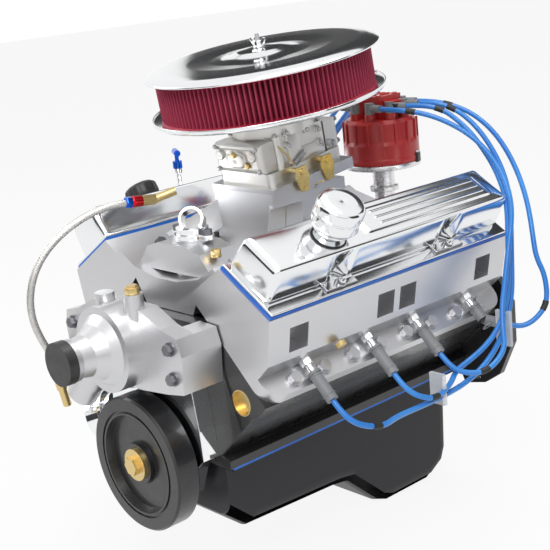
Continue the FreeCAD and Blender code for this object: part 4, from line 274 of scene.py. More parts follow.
@dataclass(frozen=True)
class Finish:
    """One surface finish, kept as numbers until its shader is wanted."""

    name: str
    slot: str
    color: tuple[float, float, float]
    tint: tuple[float, float, float]
    metallic: float = 1.0
    rough: tuple[float, float] = (0.2, 0.35)
    texture: Texture = Texture.SMOOTH
    grain: float = 600.0
    bump: float = 0.1
    coat: float = 0.0
    alpha: float = 1.0
    edge: float = 0.0

    def shader(self) -> bpy.types.Material:
        """The finish's material, made once.

        Returns:
            The material with its node tree filled in.
        """
        found = bpy.data.materials.get(self.name)
        if found:
            return found
        made = bpy.data.materials.new(self.name)
        made.use_nodes = True
        graph = Graph(made.node_tree)
        shader = made.node_tree.nodes["Principled BSDF"]
        where = graph.add("ShaderNodeTexCoord").outputs["Object"]
        cloud = graph.noise(where, 9.0, 5.0)
        fine = self.relief(graph, where)
        base = graph.blend(graph.span(cloud, 0.0, 1.0), (*self.color, 1), (*self.tint, 1))
        # Painted shade: in the pits of cast and woven relief the colour darkens towards 55 % of the
        # base colour.
        if self.texture in (Texture.CAST, Texture.WEAVE):
            pit_shade = (*[level * 0.55 for level in self.color], 1)
            base = graph.blend(graph.span(fine, 0.35, 0.0, 0.35, 0.6), base, pit_shade)
        graph.put(shader.inputs["Base Color"], base)
        smear = graph.noise(where, 60.0, 6.0, 0.7)
        graph.put(shader.inputs["Roughness"], graph.span(smear, *self.rough))
        shader.inputs["Metallic"].default_value = self.metallic
        shader.inputs["Coat Weight"].default_value = self.coat
        shader.inputs["Coat Roughness"].default_value = 0.08
        shader.inputs["Alpha"].default_value = self.alpha
        bump = graph.add("ShaderNodeBump", {"Height": fine, "Strength": self.bump,
                                            "Distance": MM})
        if self.edge:
            soft = graph.add("ShaderNodeBevel", {"Radius": self.edge * MM}, samples=4)
            graph.put(bump.inputs["Normal"], soft.outputs["Normal"])
        graph.put(shader.inputs["Normal"], bump.outputs["Normal"])
        return made

    def relief(self, graph: Graph, where: Socket) -> Socket:
        """The height field of the finish's texture.

        Args:
            graph: The material's node tree.
            where: The object coordinates.

        Returns:
            The height, from 0 to 1.
        """
        if self.texture is Texture.CAST:
            coarse = graph.noise(where, self.grain, 6.0, 0.65)
            fine = graph.noise(where, self.grain * 3.1, 3.0, 0.6)
            return graph.blend(0.4, coarse, fine)
        if self.texture is Texture.BRUSHED:
            drawn = graph.add("ShaderNodeMapping", {"Vector": where, "Scale": (1.0, 0.04, 1.0)})
            return graph.noise(drawn.outputs[0], self.grain, 5.0, 0.7)
        if self.texture is Texture.RIPPLED:
            return graph.noise(where, self.grain, 1.5, 0.4)
        if self.texture is Texture.WEAVE:
            weave = graph.add("ShaderNodeTexVoronoi", {"Vector": where, "Scale": self.grain})
            return weave.outputs["Distance"]
        if self.texture is Texture.MOULDED:
            return graph.noise(where, self.grain, 3.0, 0.5)
        return graph.noise(where, self.grain * 0.1, 2.0, 0.5)


CHROME = Finish("chrome", "chrome", (0.86, 0.87, 0.88), (0.93, 0.93, 0.93), rough=(0.015, 0.07),
    grain=120, bump=0.02)
CHROME_CAD = Finish("chrome_pressed", "chrome", (0.84, 0.86, 0.88), (0.95, 0.95, 0.95),
    rough=(0.03, 0.10), texture=Texture.RIPPLED, grain=22, bump=0.5, edge=1.5)
ALLOY = Finish("cast_alloy", "cast_alloy", (0.50, 0.50, 0.505), (0.66, 0.655, 0.64),
    rough=(0.30, 0.50), texture=Texture.CAST, grain=420, bump=0.55, metallic=0.9, edge=2.2)
MACHINED = Finish("machined_alloy", "cast_alloy", (0.74, 0.74, 0.74), (0.82, 0.81, 0.80),
    rough=(0.18, 0.34), texture=Texture.BRUSHED, grain=900, bump=0.16, edge=0.8)
ZINC = Finish("zinc", "zinc", (0.50, 0.49, 0.46), (0.68, 0.67, 0.63), rough=(0.24, 0.42),
    texture=Texture.CAST, grain=700, bump=0.3, edge=1.0)
BLACK = Finish("black_paint", "block_paint", (0.012, 0.012, 0.013), (0.028, 0.028, 0.03),
    metallic=0.0, rough=(0.22, 0.42), texture=Texture.CAST, grain=300, bump=0.45, coat=0.35,
    edge=2.0)
PAN_BLACK = Finish("pan_paint", "pan_paint", (0.008, 0.008, 0.009), (0.018, 0.018, 0.019),
    metallic=0.0, rough=(0.16, 0.30), texture=Texture.MOULDED, grain=90, bump=0.08, coat=0.5,
    edge=2.0)
DAMPER_BLACK = Finish("damper_paint", "block_paint", (0.010, 0.010, 0.011), (0.03, 0.03, 0.032),
    metallic=0.1, rough=(0.24, 0.40), texture=Texture.BRUSHED, grain=500, bump=0.12, coat=0.3,
    edge=1.2)
STEEL = Finish("steel", "steel", (0.52, 0.52, 0.54), (0.66, 0.66, 0.67), rough=(0.20, 0.36),
    texture=Texture.BRUSHED, grain=800, bump=0.12, edge=0.5)
DARK_STEEL = Finish("dark_steel", "dark_steel", (0.06, 0.06, 0.065), (0.16, 0.16, 0.17),
    rough=(0.28, 0.45), texture=Texture.BRUSHED, grain=700, bump=0.15, edge=0.5)
IRON = Finish("iron", "iron", (0.15, 0.15, 0.155), (0.24, 0.24, 0.24), metallic=0.8,
    rough=(0.45, 0.62), texture=Texture.CAST, grain=400, bump=0.5)
PISTON = Finish("piston_alloy", "piston_alloy", (0.70, 0.70, 0.71), (0.80, 0.80, 0.80),
    rough=(0.2, 0.35), texture=Texture.BRUSHED, grain=900, bump=0.1)
BRASS = Finish("brass", "brass", (0.72, 0.50, 0.16), (0.85, 0.66, 0.30), rough=(0.14, 0.30),
    texture=Texture.BRUSHED, grain=500, bump=0.12, edge=0.6)
GOLD = Finish("yellow_zinc", "gold_steel", (0.72, 0.50, 0.13), (0.80, 0.66, 0.34),
    rough=(0.18, 0.34), texture=Texture.RIPPLED, grain=80, bump=0.12, edge=0.4)
PLEAT_RED = Finish("pleated_gauze", "filter_red", (0.36, 0.018, 0.062), (0.50, 0.06, 0.12),
    metallic=0.0, rough=(0.5, 0.75), texture=Texture.WEAVE, grain=900, bump=0.5)
RIM_RED = Finish("element_rim", "filter_red", (0.42, 0.01, 0.04), (0.55, 0.03, 0.07),
    metallic=0.0, rough=(0.35, 0.5), texture=Texture.MOULDED, grain=300, bump=0.1)
CAP_RED = Finish("cap_red", "cap_red", (0.60, 0.012, 0.010), (0.72, 0.03, 0.02), metallic=0.0,
    rough=(0.16, 0.32), texture=Texture.MOULDED, grain=160, bump=0.06, coat=0.25, edge=0.8)
BLACK_PLASTIC = Finish("black_plastic", "cover_black", (0.012, 0.012, 0.012), (0.03, 0.03, 0.03),
    metallic=0.0, rough=(0.32, 0.5), texture=Texture.MOULDED, grain=700, bump=0.15, edge=0.6)
RUBBER = Finish("black_rubber", "cover_black", (0.010, 0.010, 0.010), (0.022, 0.022, 0.022),
    metallic=0.0, rough=(0.42, 0.6), texture=Texture.MOULDED, grain=500, bump=0.12)
GASKET_BLUE = Finish("blue_silicone", "gasket_blue", (0.01, 0.12, 0.62), (0.03, 0.22, 0.75),
    metallic=0.0, rough=(0.3, 0.5), texture=Texture.MOULDED, grain=500, bump=0.1)
LEAD_BLUE = Finish("lead_jacket", "lead_blue", (0.02, 0.20, 0.66), (0.05, 0.30, 0.80),
    metallic=0.0, rough=(0.26, 0.42), texture=Texture.MOULDED, grain=700, bump=0.08, coat=0.15)
BOOT_GRAY = Finish("boot_rubber", "boot_gray", (0.20, 0.21, 0.22), (0.30, 0.31, 0.32),
    metallic=0.0, rough=(0.42, 0.6), texture=Texture.MOULDED, grain=600, bump=0.12)
CLEAR = Finish("comb_plastic", "comb_clear", (0.80, 0.84, 0.88), (0.90, 0.92, 0.94), metallic=0.0,
    rough=(0.1, 0.2), bump=0.04, alpha=0.55, coat=0.5)
BRAID = Finish("steel_braid", "braid", (0.62, 0.61, 0.59), (0.75, 0.74, 0.72), rough=(0.2, 0.34),
    texture=Texture.BRUSHED, grain=900, bump=0.1)
ANODISED = Finish("blue_anodised", "fitting_blue", (0.01, 0.07, 0.55), (0.03, 0.16, 0.75),
    rough=(0.16, 0.28), texture=Texture.BRUSHED, grain=600, bump=0.08, edge=0.5)
ANODISED_RED = Finish("red_anodised", "fitting_blue", (0.65, 0.01, 0.02), (0.8, 0.04, 0.05),
    rough=(0.16, 0.28), texture=Texture.BRUSHED, grain=600, bump=0.08, edge=0.5)

NODE_FINISHES: dict[str, Finish] = {name: finish for finish, names in (
    (BLACK, ("engine_block",)),
    (IRON, ("main_caps", "oil_pump")),
    (DARK_STEEL, ("crankshaft", "camshaft", "crank_sprocket", "cam_sprocket", "timing_chain",
        "flange_bolts")),
    (CHROME_CAD, ("timing_cover", "water_outlet", "fuel_pump", "spark_plugs", "dipstick_tube")),
    (DAMPER_BLACK, ("damper",)),
    (BRASS, ("damper_bolt", "fittings")),
    (ALLOY, ("left_head", "right_head", "intake_manifold", "water_pump_housing")),
    (CHROME, ("left_valve_cover", "right_valve_cover", "breather", "air_cleaner_base",
        "air_cleaner_lid", "wing_nut")),
    (STEEL, ("head_bolts", "valves", "rocker_arms", "lifters_and_pushrods", "water_pump_shaft",
        "cleaner_stud")),
    (BLACK_PLASTIC, ("oil_filler_cap", "distributor_rotor", "pump_hub_cap")),
    (ZINC, ("carb_base", "carb_body", "float_bowls")),
    (GOLD, ("primary_throttle", "secondary_throttle", "choke_plate")),
    (PLEAT_RED, ("air_filter",)),
    (MACHINED, ("distributor_body",)),
    (CAP_RED, ("distributor_cap", "coil_cover")),
    (PAN_BLACK, ("oil_pan",)),
    (GASKET_BLUE, ("gaskets",)),
    (LEAD_BLUE, ("plug_wires",)),
    (BOOT_GRAY, ("plug_boots",)),
    (CLEAR, ("wire_separators",)),
    (BRAID, ("fuel_hose",)),
    (ANODISED, ("oil_dipstick",)),
    (PISTON, tuple("piston_%d" % number for number in range(1, 9))),
) for name in names}


# ---------------------------------------------------------------- mesh helpers


def mesh_piece(name: str, spots: Iterable[Vector], faces: Iterable[Sequence[int]],
               finish: Finish, sharp: float) -> bpy.types.Object:
    """A mesh object at the origin, from points in millimetres.

    Args:
        name: The object's name.
        spots: Vertex places in millimetres.
        faces: Vertex indices of each face.
        finish: The surface finish.
        sharp: Edges steeper than this angle in degrees stay sharp.

    Returns:
        The linked object.
    """
    mesh = bpy.data.meshes.new(name)
    mesh.from_pydata([spot * MM for spot in spots], [], [tuple(face) for face in faces])
    mesh.validate()
    mesh.materials.append(finish.shader())
    for polygon in mesh.polygons:
        polygon.use_smooth = True
    mesh.set_sharp_from_angle(angle=math.radians(sharp))
    made = bpy.data.objects.new(name, mesh)
    bpy.context.scene.collection.objects.link(made)
    return made


class Builder:
    """Collects several simple solids into one mesh."""

    def __init__(self) -> None:
        """Start with an empty mesh."""
        self.mesh = bmesh.new()

    def turned(self, profile: Profile, place: Matrix, count: int,
               radius_at: Optional[Callable[[float, float], float]] = None) -> "Builder":
        """Add a closed profile of (radius, height) points turned about Z.

        Args:
            profile: The closed outline, in millimetres.
            place: Where the axis lies.
            count: How many steps go round.
            radius_at: A change of radius for an angle and a radius, for lobed or fluted forms.

        Returns:
            The builder itself.
        """
        rings = []
        for step in range(count):
            angle = 2 * math.pi * step / count
            ring = []
            for radius, height in profile:
                reach = radius_at(angle, radius) if radius_at else radius
                spot = place @ Vector((reach * math.cos(angle), reach * math.sin(angle), height))
                ring.append(self.mesh.verts.new(spot))
            rings.append(ring)
        for step in range(count):
            here, there = rings[step], rings[(step + 1) % count]
            for index in range(len(profile)):
                after = (index + 1) % len(profile)
                self.mesh.faces.new((here[index], there[index], there[after], here[after]))
        return self

    def collar(self, radii: tuple[float, float], heights: tuple[float, float], place: Matrix,
               edge: float = 0.4, steps: int = 2, count: int = 32) -> "Builder":
        """Add a plain turned ring or disc.

        Args:
            radii: The inner and outer radius. A disc has a pinhole, so that its poles stay clean.
            heights: The lower and upper height.
            place: Where the axis lies.
            edge: How far the corners are rounded.
            steps: How many points each rounded corner gets.
            count: How many steps go round.

        Returns:
            The builder itself.
        """
        (inner, outer), (low, high) = radii, heights
        outline = [(inner, low), (outer, low), (outer, high), (inner, high)]
        return self.turned(rounded(outline, edge, steps), place, count)

    def block(self, size: Point, place: Matrix, bevel: float, steps: int = 3) -> "Builder":
        """Add a box with rounded edges, centred on a frame.

        Args:
            size: The box's sides.
            place: The frame at its middle.
            bevel: The size of its rounded edges.
            steps: How many faces each rounded edge gets.

        Returns:
            The builder itself.
        """
        made = bmesh.ops.create_cube(self.mesh, size=1.0)
        verts = made["verts"]
        for vert in verts:
            vert.co = Vector(vert.co[i] * size[i] for i in range(3))
        edges = list({edge for vert in verts for edge in vert.link_edges})
        out = bmesh.ops.bevel(self.mesh, geom=verts + edges, offset=bevel, segments=steps,
                              affect="EDGES", profile=0.6, clamp_overlap=True)
        moved = {vert for face in out["faces"] for vert in face.verts}
        moved.update(vert for vert in verts if vert.is_valid)
        for vert in moved:
            vert.co = place @ vert.co
        return self

    def prism(self, corners: Profile, low: float, high: float, place: Matrix,
              bevel: float) -> "Builder":
        """Add a flat outline pushed from one height to another, with softened edges.

        Args:
            corners: The outline's points.
            low: The height of its underside.
            high: The height of its top.
            place: The frame that the outline lies in.
            bevel: The size of its softened edges.

        Returns:
            The builder itself.
        """
        bottom = [self.mesh.verts.new(Vector((x, y, low))) for x, y in corners]
        top = [self.mesh.verts.new(Vector((x, y, high))) for x, y in corners]
        count = len(corners)
        faces = [self.mesh.faces.new(bottom[::-1]), self.mesh.faces.new(top)]
        for index in range(count):
            after = (index + 1) % count
            wall = (bottom[index], bottom[after], top[after], top[index])
            faces.append(self.mesh.faces.new(wall))
        edges = list({edge for face in faces for edge in face.edges})
        out = bmesh.ops.bevel(self.mesh, geom=bottom + top + edges, offset=bevel, segments=2,
                              affect="EDGES", profile=0.6, clamp_overlap=True)
        moved = {vert for face in out["faces"] for vert in face.verts}
        moved.update(vert for vert in bottom + top if vert.is_valid)
        moved.update(vert for face in faces if face.is_valid for vert in face.verts)
        for vert in moved:
            vert.co = place @ vert.co
        return self

    def hexagon(self, across: float, height: float, place: Matrix) -> "Builder":
        """Add a chamfered hexagon head that stands on a frame's origin.

        Args:
            across: The size across its flats.
            height: Its height.
            place: The frame.

        Returns:
            The builder itself.
        """
        corner = across / math.sqrt(3)
        turns = [math.pi * index / 3 for index in range(6)]
        outline = [(corner * math.cos(turn), corner * math.sin(turn)) for turn in turns]
        return self.prism(outline, 0.0, height, place, bevel=across * 0.06)

    def tube(self, route: Sequence[Vector], radius: float, count: int = 12) -> "Builder":
        """Add a round bar that follows a list of points.

        Args:
            route: The points of its middle.
            radius: Its radius.
            count: How many faces go round it.

        Returns:
            The builder itself.
        """
        rings = []
        turns = [2 * math.pi * index / count for index in range(count)]
        for spot, (side, up) in zip(route, transported(route)):
            ways = [side * math.cos(turn) + up * math.sin(turn) for turn in turns]
            rings.append([self.mesh.verts.new(spot + way * radius) for way in ways])
        for here, there in zip(rings, rings[1:]):
            for index in range(count):
                after = (index + 1) % count
                self.mesh.faces.new((here[index], here[after], there[after], there[index]))
        self.mesh.faces.new(rings[0][::-1])
        self.mesh.faces.new(rings[-1])
        return self

    def piece(self, name: str, finish: Finish, body: str, sharp: float = 32.0) -> bpy.types.Object:
        """Turn the collected solids into an object that rides on a body.

        Args:
            name: The object's name.
            finish: Its surface finish, whose material the object takes.
            body: The body that it moves with.
            sharp: Edges steeper than this angle in degrees stay sharp.

        Returns:
            The linked object.
        """
        bmesh.ops.recalc_face_normals(self.mesh, faces=self.mesh.faces)
        for vert in self.mesh.verts:
            vert.co *= MM
        mesh = bpy.data.meshes.new(name)
        self.mesh.to_mesh(mesh)
        self.mesh.free()
        mesh.materials.append(finish.shader())
        for polygon in mesh.polygons:
            polygon.use_smooth = True
        mesh.set_sharp_from_angle(angle=math.radians(sharp))
        made = bpy.data.objects.new(name, mesh)
        bpy.context.scene.collection.objects.link(made)
        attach(made, body)
        return made


def transported(route: Sequence[Vector]) -> list[tuple[Vector, Vector]]:
    """Two cross directions at each point of a route, turned as little as possible along it.

    Args:
        route: The points of the route.

    Returns:
        For each point, a sideways and an upward direction.
    """
    ways = [(b - a).normalized() for a, b in zip(route, route[1:])]
    ways.append(ways[-1])
    side = ways[0].orthogonal().normalized()
    out = []
    for way in ways:
        side = (side - way * side.dot(way)).normalized()
        out.append((side.copy(), way.cross(side)))
    return out


def aim(start: Sequence[float], way: Sequence[float]) -> Matrix:
    """A frame at a start point whose z lies along a way."""
    turn = Vector(way).to_track_quat("Z", "Y").to_matrix().to_4x4()
    return Matrix.Translation(Vector(start)) @ turn


def ring_pattern(name: str, unit: bpy.types.Object, count: int, finish: Finish) -> bpy.types.Object:
    """Repeat a unit mesh round the Z axis with Geometry Nodes and keep the result as a plain mesh.

    Args:
        name: Name of the finished object.
        unit: The object that holds one repeat, at its place on the ring.
        count: How many repeats go round.
        finish: The finish set by the node tree.

    Returns:
        The finished object, with no modifier left.
    """
    tree = bpy.data.node_groups.new(name + "_nodes", "GeometryNodeTree")
    tree.interface.new_socket("Geometry", in_out="INPUT", socket_type="NodeSocketGeometry")
    socket = tree.interface.new_socket("Count", in_out="INPUT", socket_type="NodeSocketInt")
    tree.interface.new_socket("Geometry", in_out="OUTPUT", socket_type="NodeSocketGeometry")
    graph = Graph(tree)
    entry, leave = graph.add("NodeGroupInput"), graph.add("NodeGroupOutput")
    points = graph.add("GeometryNodeMeshLine", {"Count": entry.outputs["Count"],
                                                "Offset": (0.0, 0.0, 0.0)})
    index = graph.add("GeometryNodeInputIndex")
    part = graph.maths("DIVIDE", index.outputs[0], entry.outputs["Count"])
    turn = graph.add("ShaderNodeCombineXYZ", {"Z": graph.maths("MULTIPLY", part, 2 * math.pi)})
    placed = graph.add("GeometryNodeInstanceOnPoints", {"Points": points.outputs["Mesh"],
                                                        "Instance": entry.outputs["Geometry"],
                                                        "Rotation": turn.outputs[0]})
    real = graph.add("GeometryNodeRealizeInstances", {"Geometry": placed.outputs["Instances"]})
    coat = graph.add("GeometryNodeSetMaterial", {"Geometry": real.outputs["Geometry"],
                                                 "Material": finish.shader()})
    graph.put(leave.inputs["Geometry"], coat.outputs["Geometry"])
    modifier = unit.modifiers.new("repeat", "NODES")
    modifier.node_group = tree
    modifier[socket.identifier] = count
    depsgraph = bpy.context.evaluated_depsgraph_get()
    mesh = bpy.data.meshes.new_from_object(unit.evaluated_get(depsgraph))
    mesh.name = name
    made = bpy.data.objects.new(name, mesh)
    bpy.context.scene.collection.objects.link(made)
    bpy.data.objects.remove(unit)
    return made


def settle(made: bpy.types.Object, place: Matrix, body: str) -> bpy.types.Object:
    """Move a finished mesh from millimetres in a frame to the row frame, and let it ride.

    Args:
        made: The object, with its mesh in the frame's own axes.
        place: The frame.
        body: The body that it moves with.

    Returns:
        The same object.
    """
    made.data.transform(Matrix.Scale(MM, 4) @ place)
    for polygon in made.data.polygons:
        polygon.use_smooth = True
    made.data.set_sharp_from_angle(angle=math.radians(35))
    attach(made, body)
    return made


# ---------------------------------------------------------------- studio


SQUARE = ((-1, -1), (1, -1), (1, 1), (-1, 1))


@dataclass
class Studio:
    """Pale floor, soft light and the camera."""

    floor: float = -0.1975
    reach: float = 14.0
    glow: float = 0.9
    daylight: float = 0.34
    middle: Point = (0, -0.28, 0.2)
    sight: Point = (-0.73, 0.632, -0.261)
    upright: Point = (-0.132, 0.245, 0.96)
    stand: Point = (1.350, -1.472, 0.690)
    lens: float = 78.2

    def build(self) -> None:
        """Make the whole studio."""
        bpy.context.scene.view_settings.view_transform = "Standard"
        self.make_world()
        self.make_floor()
        self.make_lamp("key", (1.5, -2.2, 2.6), 1.8, 56.0)
        self.make_lamp("fill", (-2.4, -1.6, 1.6), 1.6, 18.0)
        self.make_lamp("top", (0.2, 0.3, 2.8), 1.4, 26.0)
        self.make_flag("flag_side", (3.0, 1.3, 1.0), (1.1, 1.2))
        self.make_flag("flag_low", (2.6, -1.6, -0.05), (1.3, 0.16))
        self.make_flag("flag_back", (0.4, 3.4, 2.7), (1.7, 0.5))
        self.make_flag("flag_front", (-1.3, -3.3, 0.3), (1.9, 1.0))
        self.make_flag("flag_over", (-0.9, 2.6, 2.0), (2.6, 0.8))
        self.make_camera()

    def make_world(self) -> None:
        """A white surround that lights the object evenly."""
        world = bpy.data.worlds.new("surround")
        world.use_nodes = True
        bpy.context.scene.world = world
        graph = Graph(world.node_tree)
        back = world.node_tree.nodes["Background"]
        back.inputs["Color"].default_value = (1, 1, 1, 1)
        graph.put(back.inputs["Strength"], graph.span(graph.seen(), self.daylight, 1.0, 0.0, 1.0))

    def make_floor(self) -> None:
        """A plain pale floor that keeps the object's shadow."""
        mesh = bpy.data.meshes.new("floor")
        corners = [(self.reach * x, self.reach * y, self.floor) for x, y in SQUARE]
        mesh.from_pydata(corners, [], [(0, 1, 2, 3)])
        made = bpy.data.materials.new("floor_paint")
        made.use_nodes = True
        graph = Graph(made.node_tree)
        matt = graph.add("ShaderNodeBsdfDiffuse", {"Color": (0.93, 0.93, 0.93, 1)})
        glow = graph.add("ShaderNodeEmission", {"Color": (1, 1, 1, 1), "Strength": 1.0})
        part = graph.maths("MULTIPLY", graph.seen(), self.glow)
        both = graph.add("ShaderNodeMixShader", {0: part, 1: matt.outputs[0], 2: glow.outputs[0]})
        graph.put(made.node_tree.nodes["Material Output"].inputs["Surface"], both.outputs[0])
        mesh.materials.append(made)
        floor = bpy.data.objects.new("floor", mesh)
        bpy.context.scene.collection.objects.link(floor)

    def make_lamp(self, name: str, spot: Point, size: float, power: float) -> None:
        """A square soft light aimed at the engine.

        Args:
            name: The lamp's name.
            spot: Where it stands, in metres.
            size: The side of its square.
            power: Its power in watts.
        """
        lamp = bpy.data.lights.new(name, "AREA")
        lamp.size, lamp.energy = size, power
        made = bpy.data.objects.new(name, lamp)
        made.location = spot
        way = Vector(self.middle) - Vector(spot)
        made.rotation_euler = way.to_track_quat("-Z", "Y").to_euler()
        bpy.context.scene.collection.objects.link(made)

    def make_flag(self, name: str, spot: Point, size: tuple[float, float]) -> None:
        """A dark studio card that gives polished metal something to reflect.

        Args:
            name: The card's name.
            spot: Its middle, in metres.
            size: Half its width and half its height.
        """
        place = aim(spot, Vector(self.middle) - Vector(spot))
        corners = [place @ Vector((size[0] * x, size[1] * y, 0)) for x, y in SQUARE]
        mesh = bpy.data.meshes.new(name)
        mesh.from_pydata(corners, [], [(0, 1, 2, 3)])
        felt = bpy.data.materials.get("flag_felt") or bpy.data.materials.new("flag_felt")
        felt.use_nodes = True
        shader = felt.node_tree.nodes["Principled BSDF"]
        shader.inputs["Base Color"].default_value = (0.02, 0.02, 0.022, 1)
        mesh.materials.append(felt)
        made = bpy.data.objects.new(name, mesh)
        made.visible_camera = False
        made.visible_diffuse = False
        made.visible_shadow = False
        bpy.context.scene.collection.objects.link(made)

    def make_camera(self) -> None:
        """The camera, a little above the engine at its front left corner."""
        lens = bpy.data.cameras.new("camera")
        lens.lens, lens.sensor_width, lens.clip_end = self.lens, 36.0, 100.0
        made = bpy.data.objects.new("camera", lens)
        ahead = Vector(self.sight).normalized()
        right = ahead.cross(Vector(self.upright)).normalized()
        above = right.cross(ahead)
        turn = Matrix((right, above, -ahead)).transposed().to_4x4()
        made.matrix_world = Matrix.Translation(Vector(self.stand)) @ turn
        bpy.context.scene.collection.objects.link(made)
        bpy.context.scene.camera = made


# ---------------------------------------------------------------- cords


def cord_curve(name: str, route: Route, diameter: float, finish: Finish) -> bpy.types.Object:
    """A round cord on one smooth spline with a route's control points.

    Args:
        name: The object's name.
        route: The control points, in metres.
        diameter: The cord's diameter, in metres.
        finish: Its surface finish.

    Returns:
        The linked curve object.
    """
    curve = bpy.data.curves.new(name, "CURVE")
    curve.dimensions = "3D"
    spline = curve.splines.new("NURBS")
    spline.points.add(len(route) - 1)
    for point, spot in zip(spline.points, route):
        point.co = (*spot, 1.0)
    spline.order_u = 3
    spline.use_endpoint_u = True
    curve.resolution_u = 16
    curve.bevel_depth = diameter / 2
    curve.bevel_resolution = 5
    curve.use_fill_caps = True
    curve.materials.append(finish.shader())
    made = bpy.data.objects.new(name, curve)
    bpy.context.scene.collection.objects.link(made)
    return made


def line_of(made: bpy.types.Object) -> list[Vector]:
    """The centreline of a cord's spline.

    Args:
        made: The cord's curve object.

    Returns:
        Points on the line, in millimetres.
    """
    bare = made.data.copy()
    bare.bevel_depth = 0.0
    probe = bpy.data.objects.new("probe", bare)
    bpy.context.scene.collection.objects.link(probe)
    depsgraph = bpy.context.evaluated_depsgraph_get()
    mesh = bpy.data.meshes.new_from_object(probe.evaluated_get(depsgraph))
    spots = [vert.co * 1000.0 for vert in mesh.vertices]
    bpy.data.objects.remove(probe)
    bpy.data.meshes.remove(mesh)
    return spots


def length_of(line: Sequence[Vector]) -> float:
    """The length of a line of points."""
    return sum((b - a).length for a, b in zip(line, line[1:]))


def stretch_of(line: Sequence[Vector], start: float, length: float, steps: int = 6) -> list[Vector]:
    """Evenly spaced points on one stretch of a line.

    Args:
        line: The line's points.
        start: The distance at which the stretch starts.
        length: How long it is.
        steps: How many equal steps it has.

    Returns:
        The points, one more than the steps.
    """
    marks = [start + length * step / steps for step in range(steps + 1)]
    out, gone, index = [], 0.0, 0
    for a, b in zip(line, line[1:]):
        size = (b - a).length
        while index < len(marks) and marks[index] <= gone + size:
            out.append(a.lerp(b, (marks[index] - gone) / max(size, 1e-9)))
            index += 1
        gone += size
    return out


@dataclass
class PlugLeads:
    """Eight spark plug leads with their sleeves."""

    diameter: float = 0.008
    sleeve_length: float = 15.0
    sleeve_radius: float = 4.7
    sleeve_from_cap: float = 62.0
    sleeve_from_plug: float = 70.0

    def build(self) -> None:
        """Make each lead as its own free cord, and a black sleeve near each plug."""
        sleeves = Builder()
        for number, route in LEAD_ROUTES.items():
            made = cord_curve("plug_lead_%d" % number, route, self.diameter, LEAD_BLUE)
            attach(made, "engine")
            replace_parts(made, "plug_wires")
            line = line_of(made)
            size = length_of(line)
            LOG.info("lead %d is %.1f mm long", number, size)
            for start in (size - self.sleeve_from_cap, self.sleeve_from_plug):
                sleeves.tube(stretch_of(line, start, self.sleeve_length), self.sleeve_radius, 20)
        sleeves.piece("lead_sleeves", RUBBER, "engine")


@dataclass
class FuelHose:
    """The braided fuel hose between the pump and the carburettor."""

    diameter: float = 0.011
    strands: int = 14
    around: int = 84
    step: float = 0.42
    strand_height: float = 0.75

    def build(self) -> None:
        """Make a tube whose surface carries the woven strands."""
        guide = cord_curve("hose_guide", HOSE_ROUTE, self.diameter, BRAID)
        line = line_of(guide)
        bpy.data.objects.remove(guide)
        size = length_of(line)
        count = int(size / self.step)
        path = stretch_of(line, 0.0, size - 0.001, count)
        radius = self.diameter / 2 / MM
        pitch = 2 * math.pi * radius / self.strands
        spots = []
        for index, (spot, (side, up)) in enumerate(zip(path, transported(path))):
            run = index * size / count / pitch
            for turn in range(self.around):
                part = turn / self.around
                height = self.weave(part * self.strands + run, part * self.strands - run)
                reach = radius - self.strand_height + self.strand_height * height
                angle = 2 * math.pi * part
                spots.append(spot + (side * math.cos(angle) + up * math.sin(angle)) * reach)
        faces = [tuple(reversed(range(self.around)))]
        for index in range(len(path) - 1):
            for turn in range(self.around):
                after = (turn + 1) % self.around
                low, high = index * self.around, (index + 1) * self.around
                faces.append((low + turn, low + after, high + after, high + turn))
        faces.append(tuple((len(path) - 1) * self.around + turn for turn in range(self.around)))
        made = mesh_piece("braided_hose", spots, faces, BRAID, sharp=80.0)
        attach(made, "engine")
        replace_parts(made, "fuel_hose")
        LOG.info("fuel hose is %.1f mm long", size)

    def weave(self, first: float, second: float) -> float:
        """Two sets of strands that pass over and under each other.

        Args:
            first: The place across the first set, counted in strands.
            second: The place across the second set.

        Returns:
            The height, from 0 to 1.
        """
        over = (math.floor(first) + math.floor(second)) % 2 == 0
        across, along = (first, second) if over else (second, first)
        bulge = math.cos((across % 1.0 - 0.5) * math.pi) ** 0.6
        rise = 0.72 + 0.28 * math.sin((along % 1.0) * math.pi)
        return max(0.0, bulge * rise)


# ---------------------------------------------------------------- air cleaner


def rounded(profile: Profile, reach: float, steps: int) -> list[tuple[float, float]]:
    """Soften the corners of a closed outline.

    Args:
        profile: The outline's points.
        reach: How far from a corner the rounding starts, at most.
        steps: How many points each rounded corner gets.

    Returns:
        The outline with its corners rounded.
    """
    points = [Vector(spot) for spot in profile]
    out = []
    for index, spot in enumerate(points):
        before, after = points[index - 1], points[(index + 1) % len(points)]
        near = min(reach, (before - spot).length * 0.45, (after - spot).length * 0.45)
        start = spot + (before - spot).normalized() * near
        end = spot + (after - spot).normalized() * near
        for step in range(steps + 1):
            part = step / steps
            out.append(tuple(start.lerp(spot, part).lerp(spot.lerp(end, part), part)))
    return out


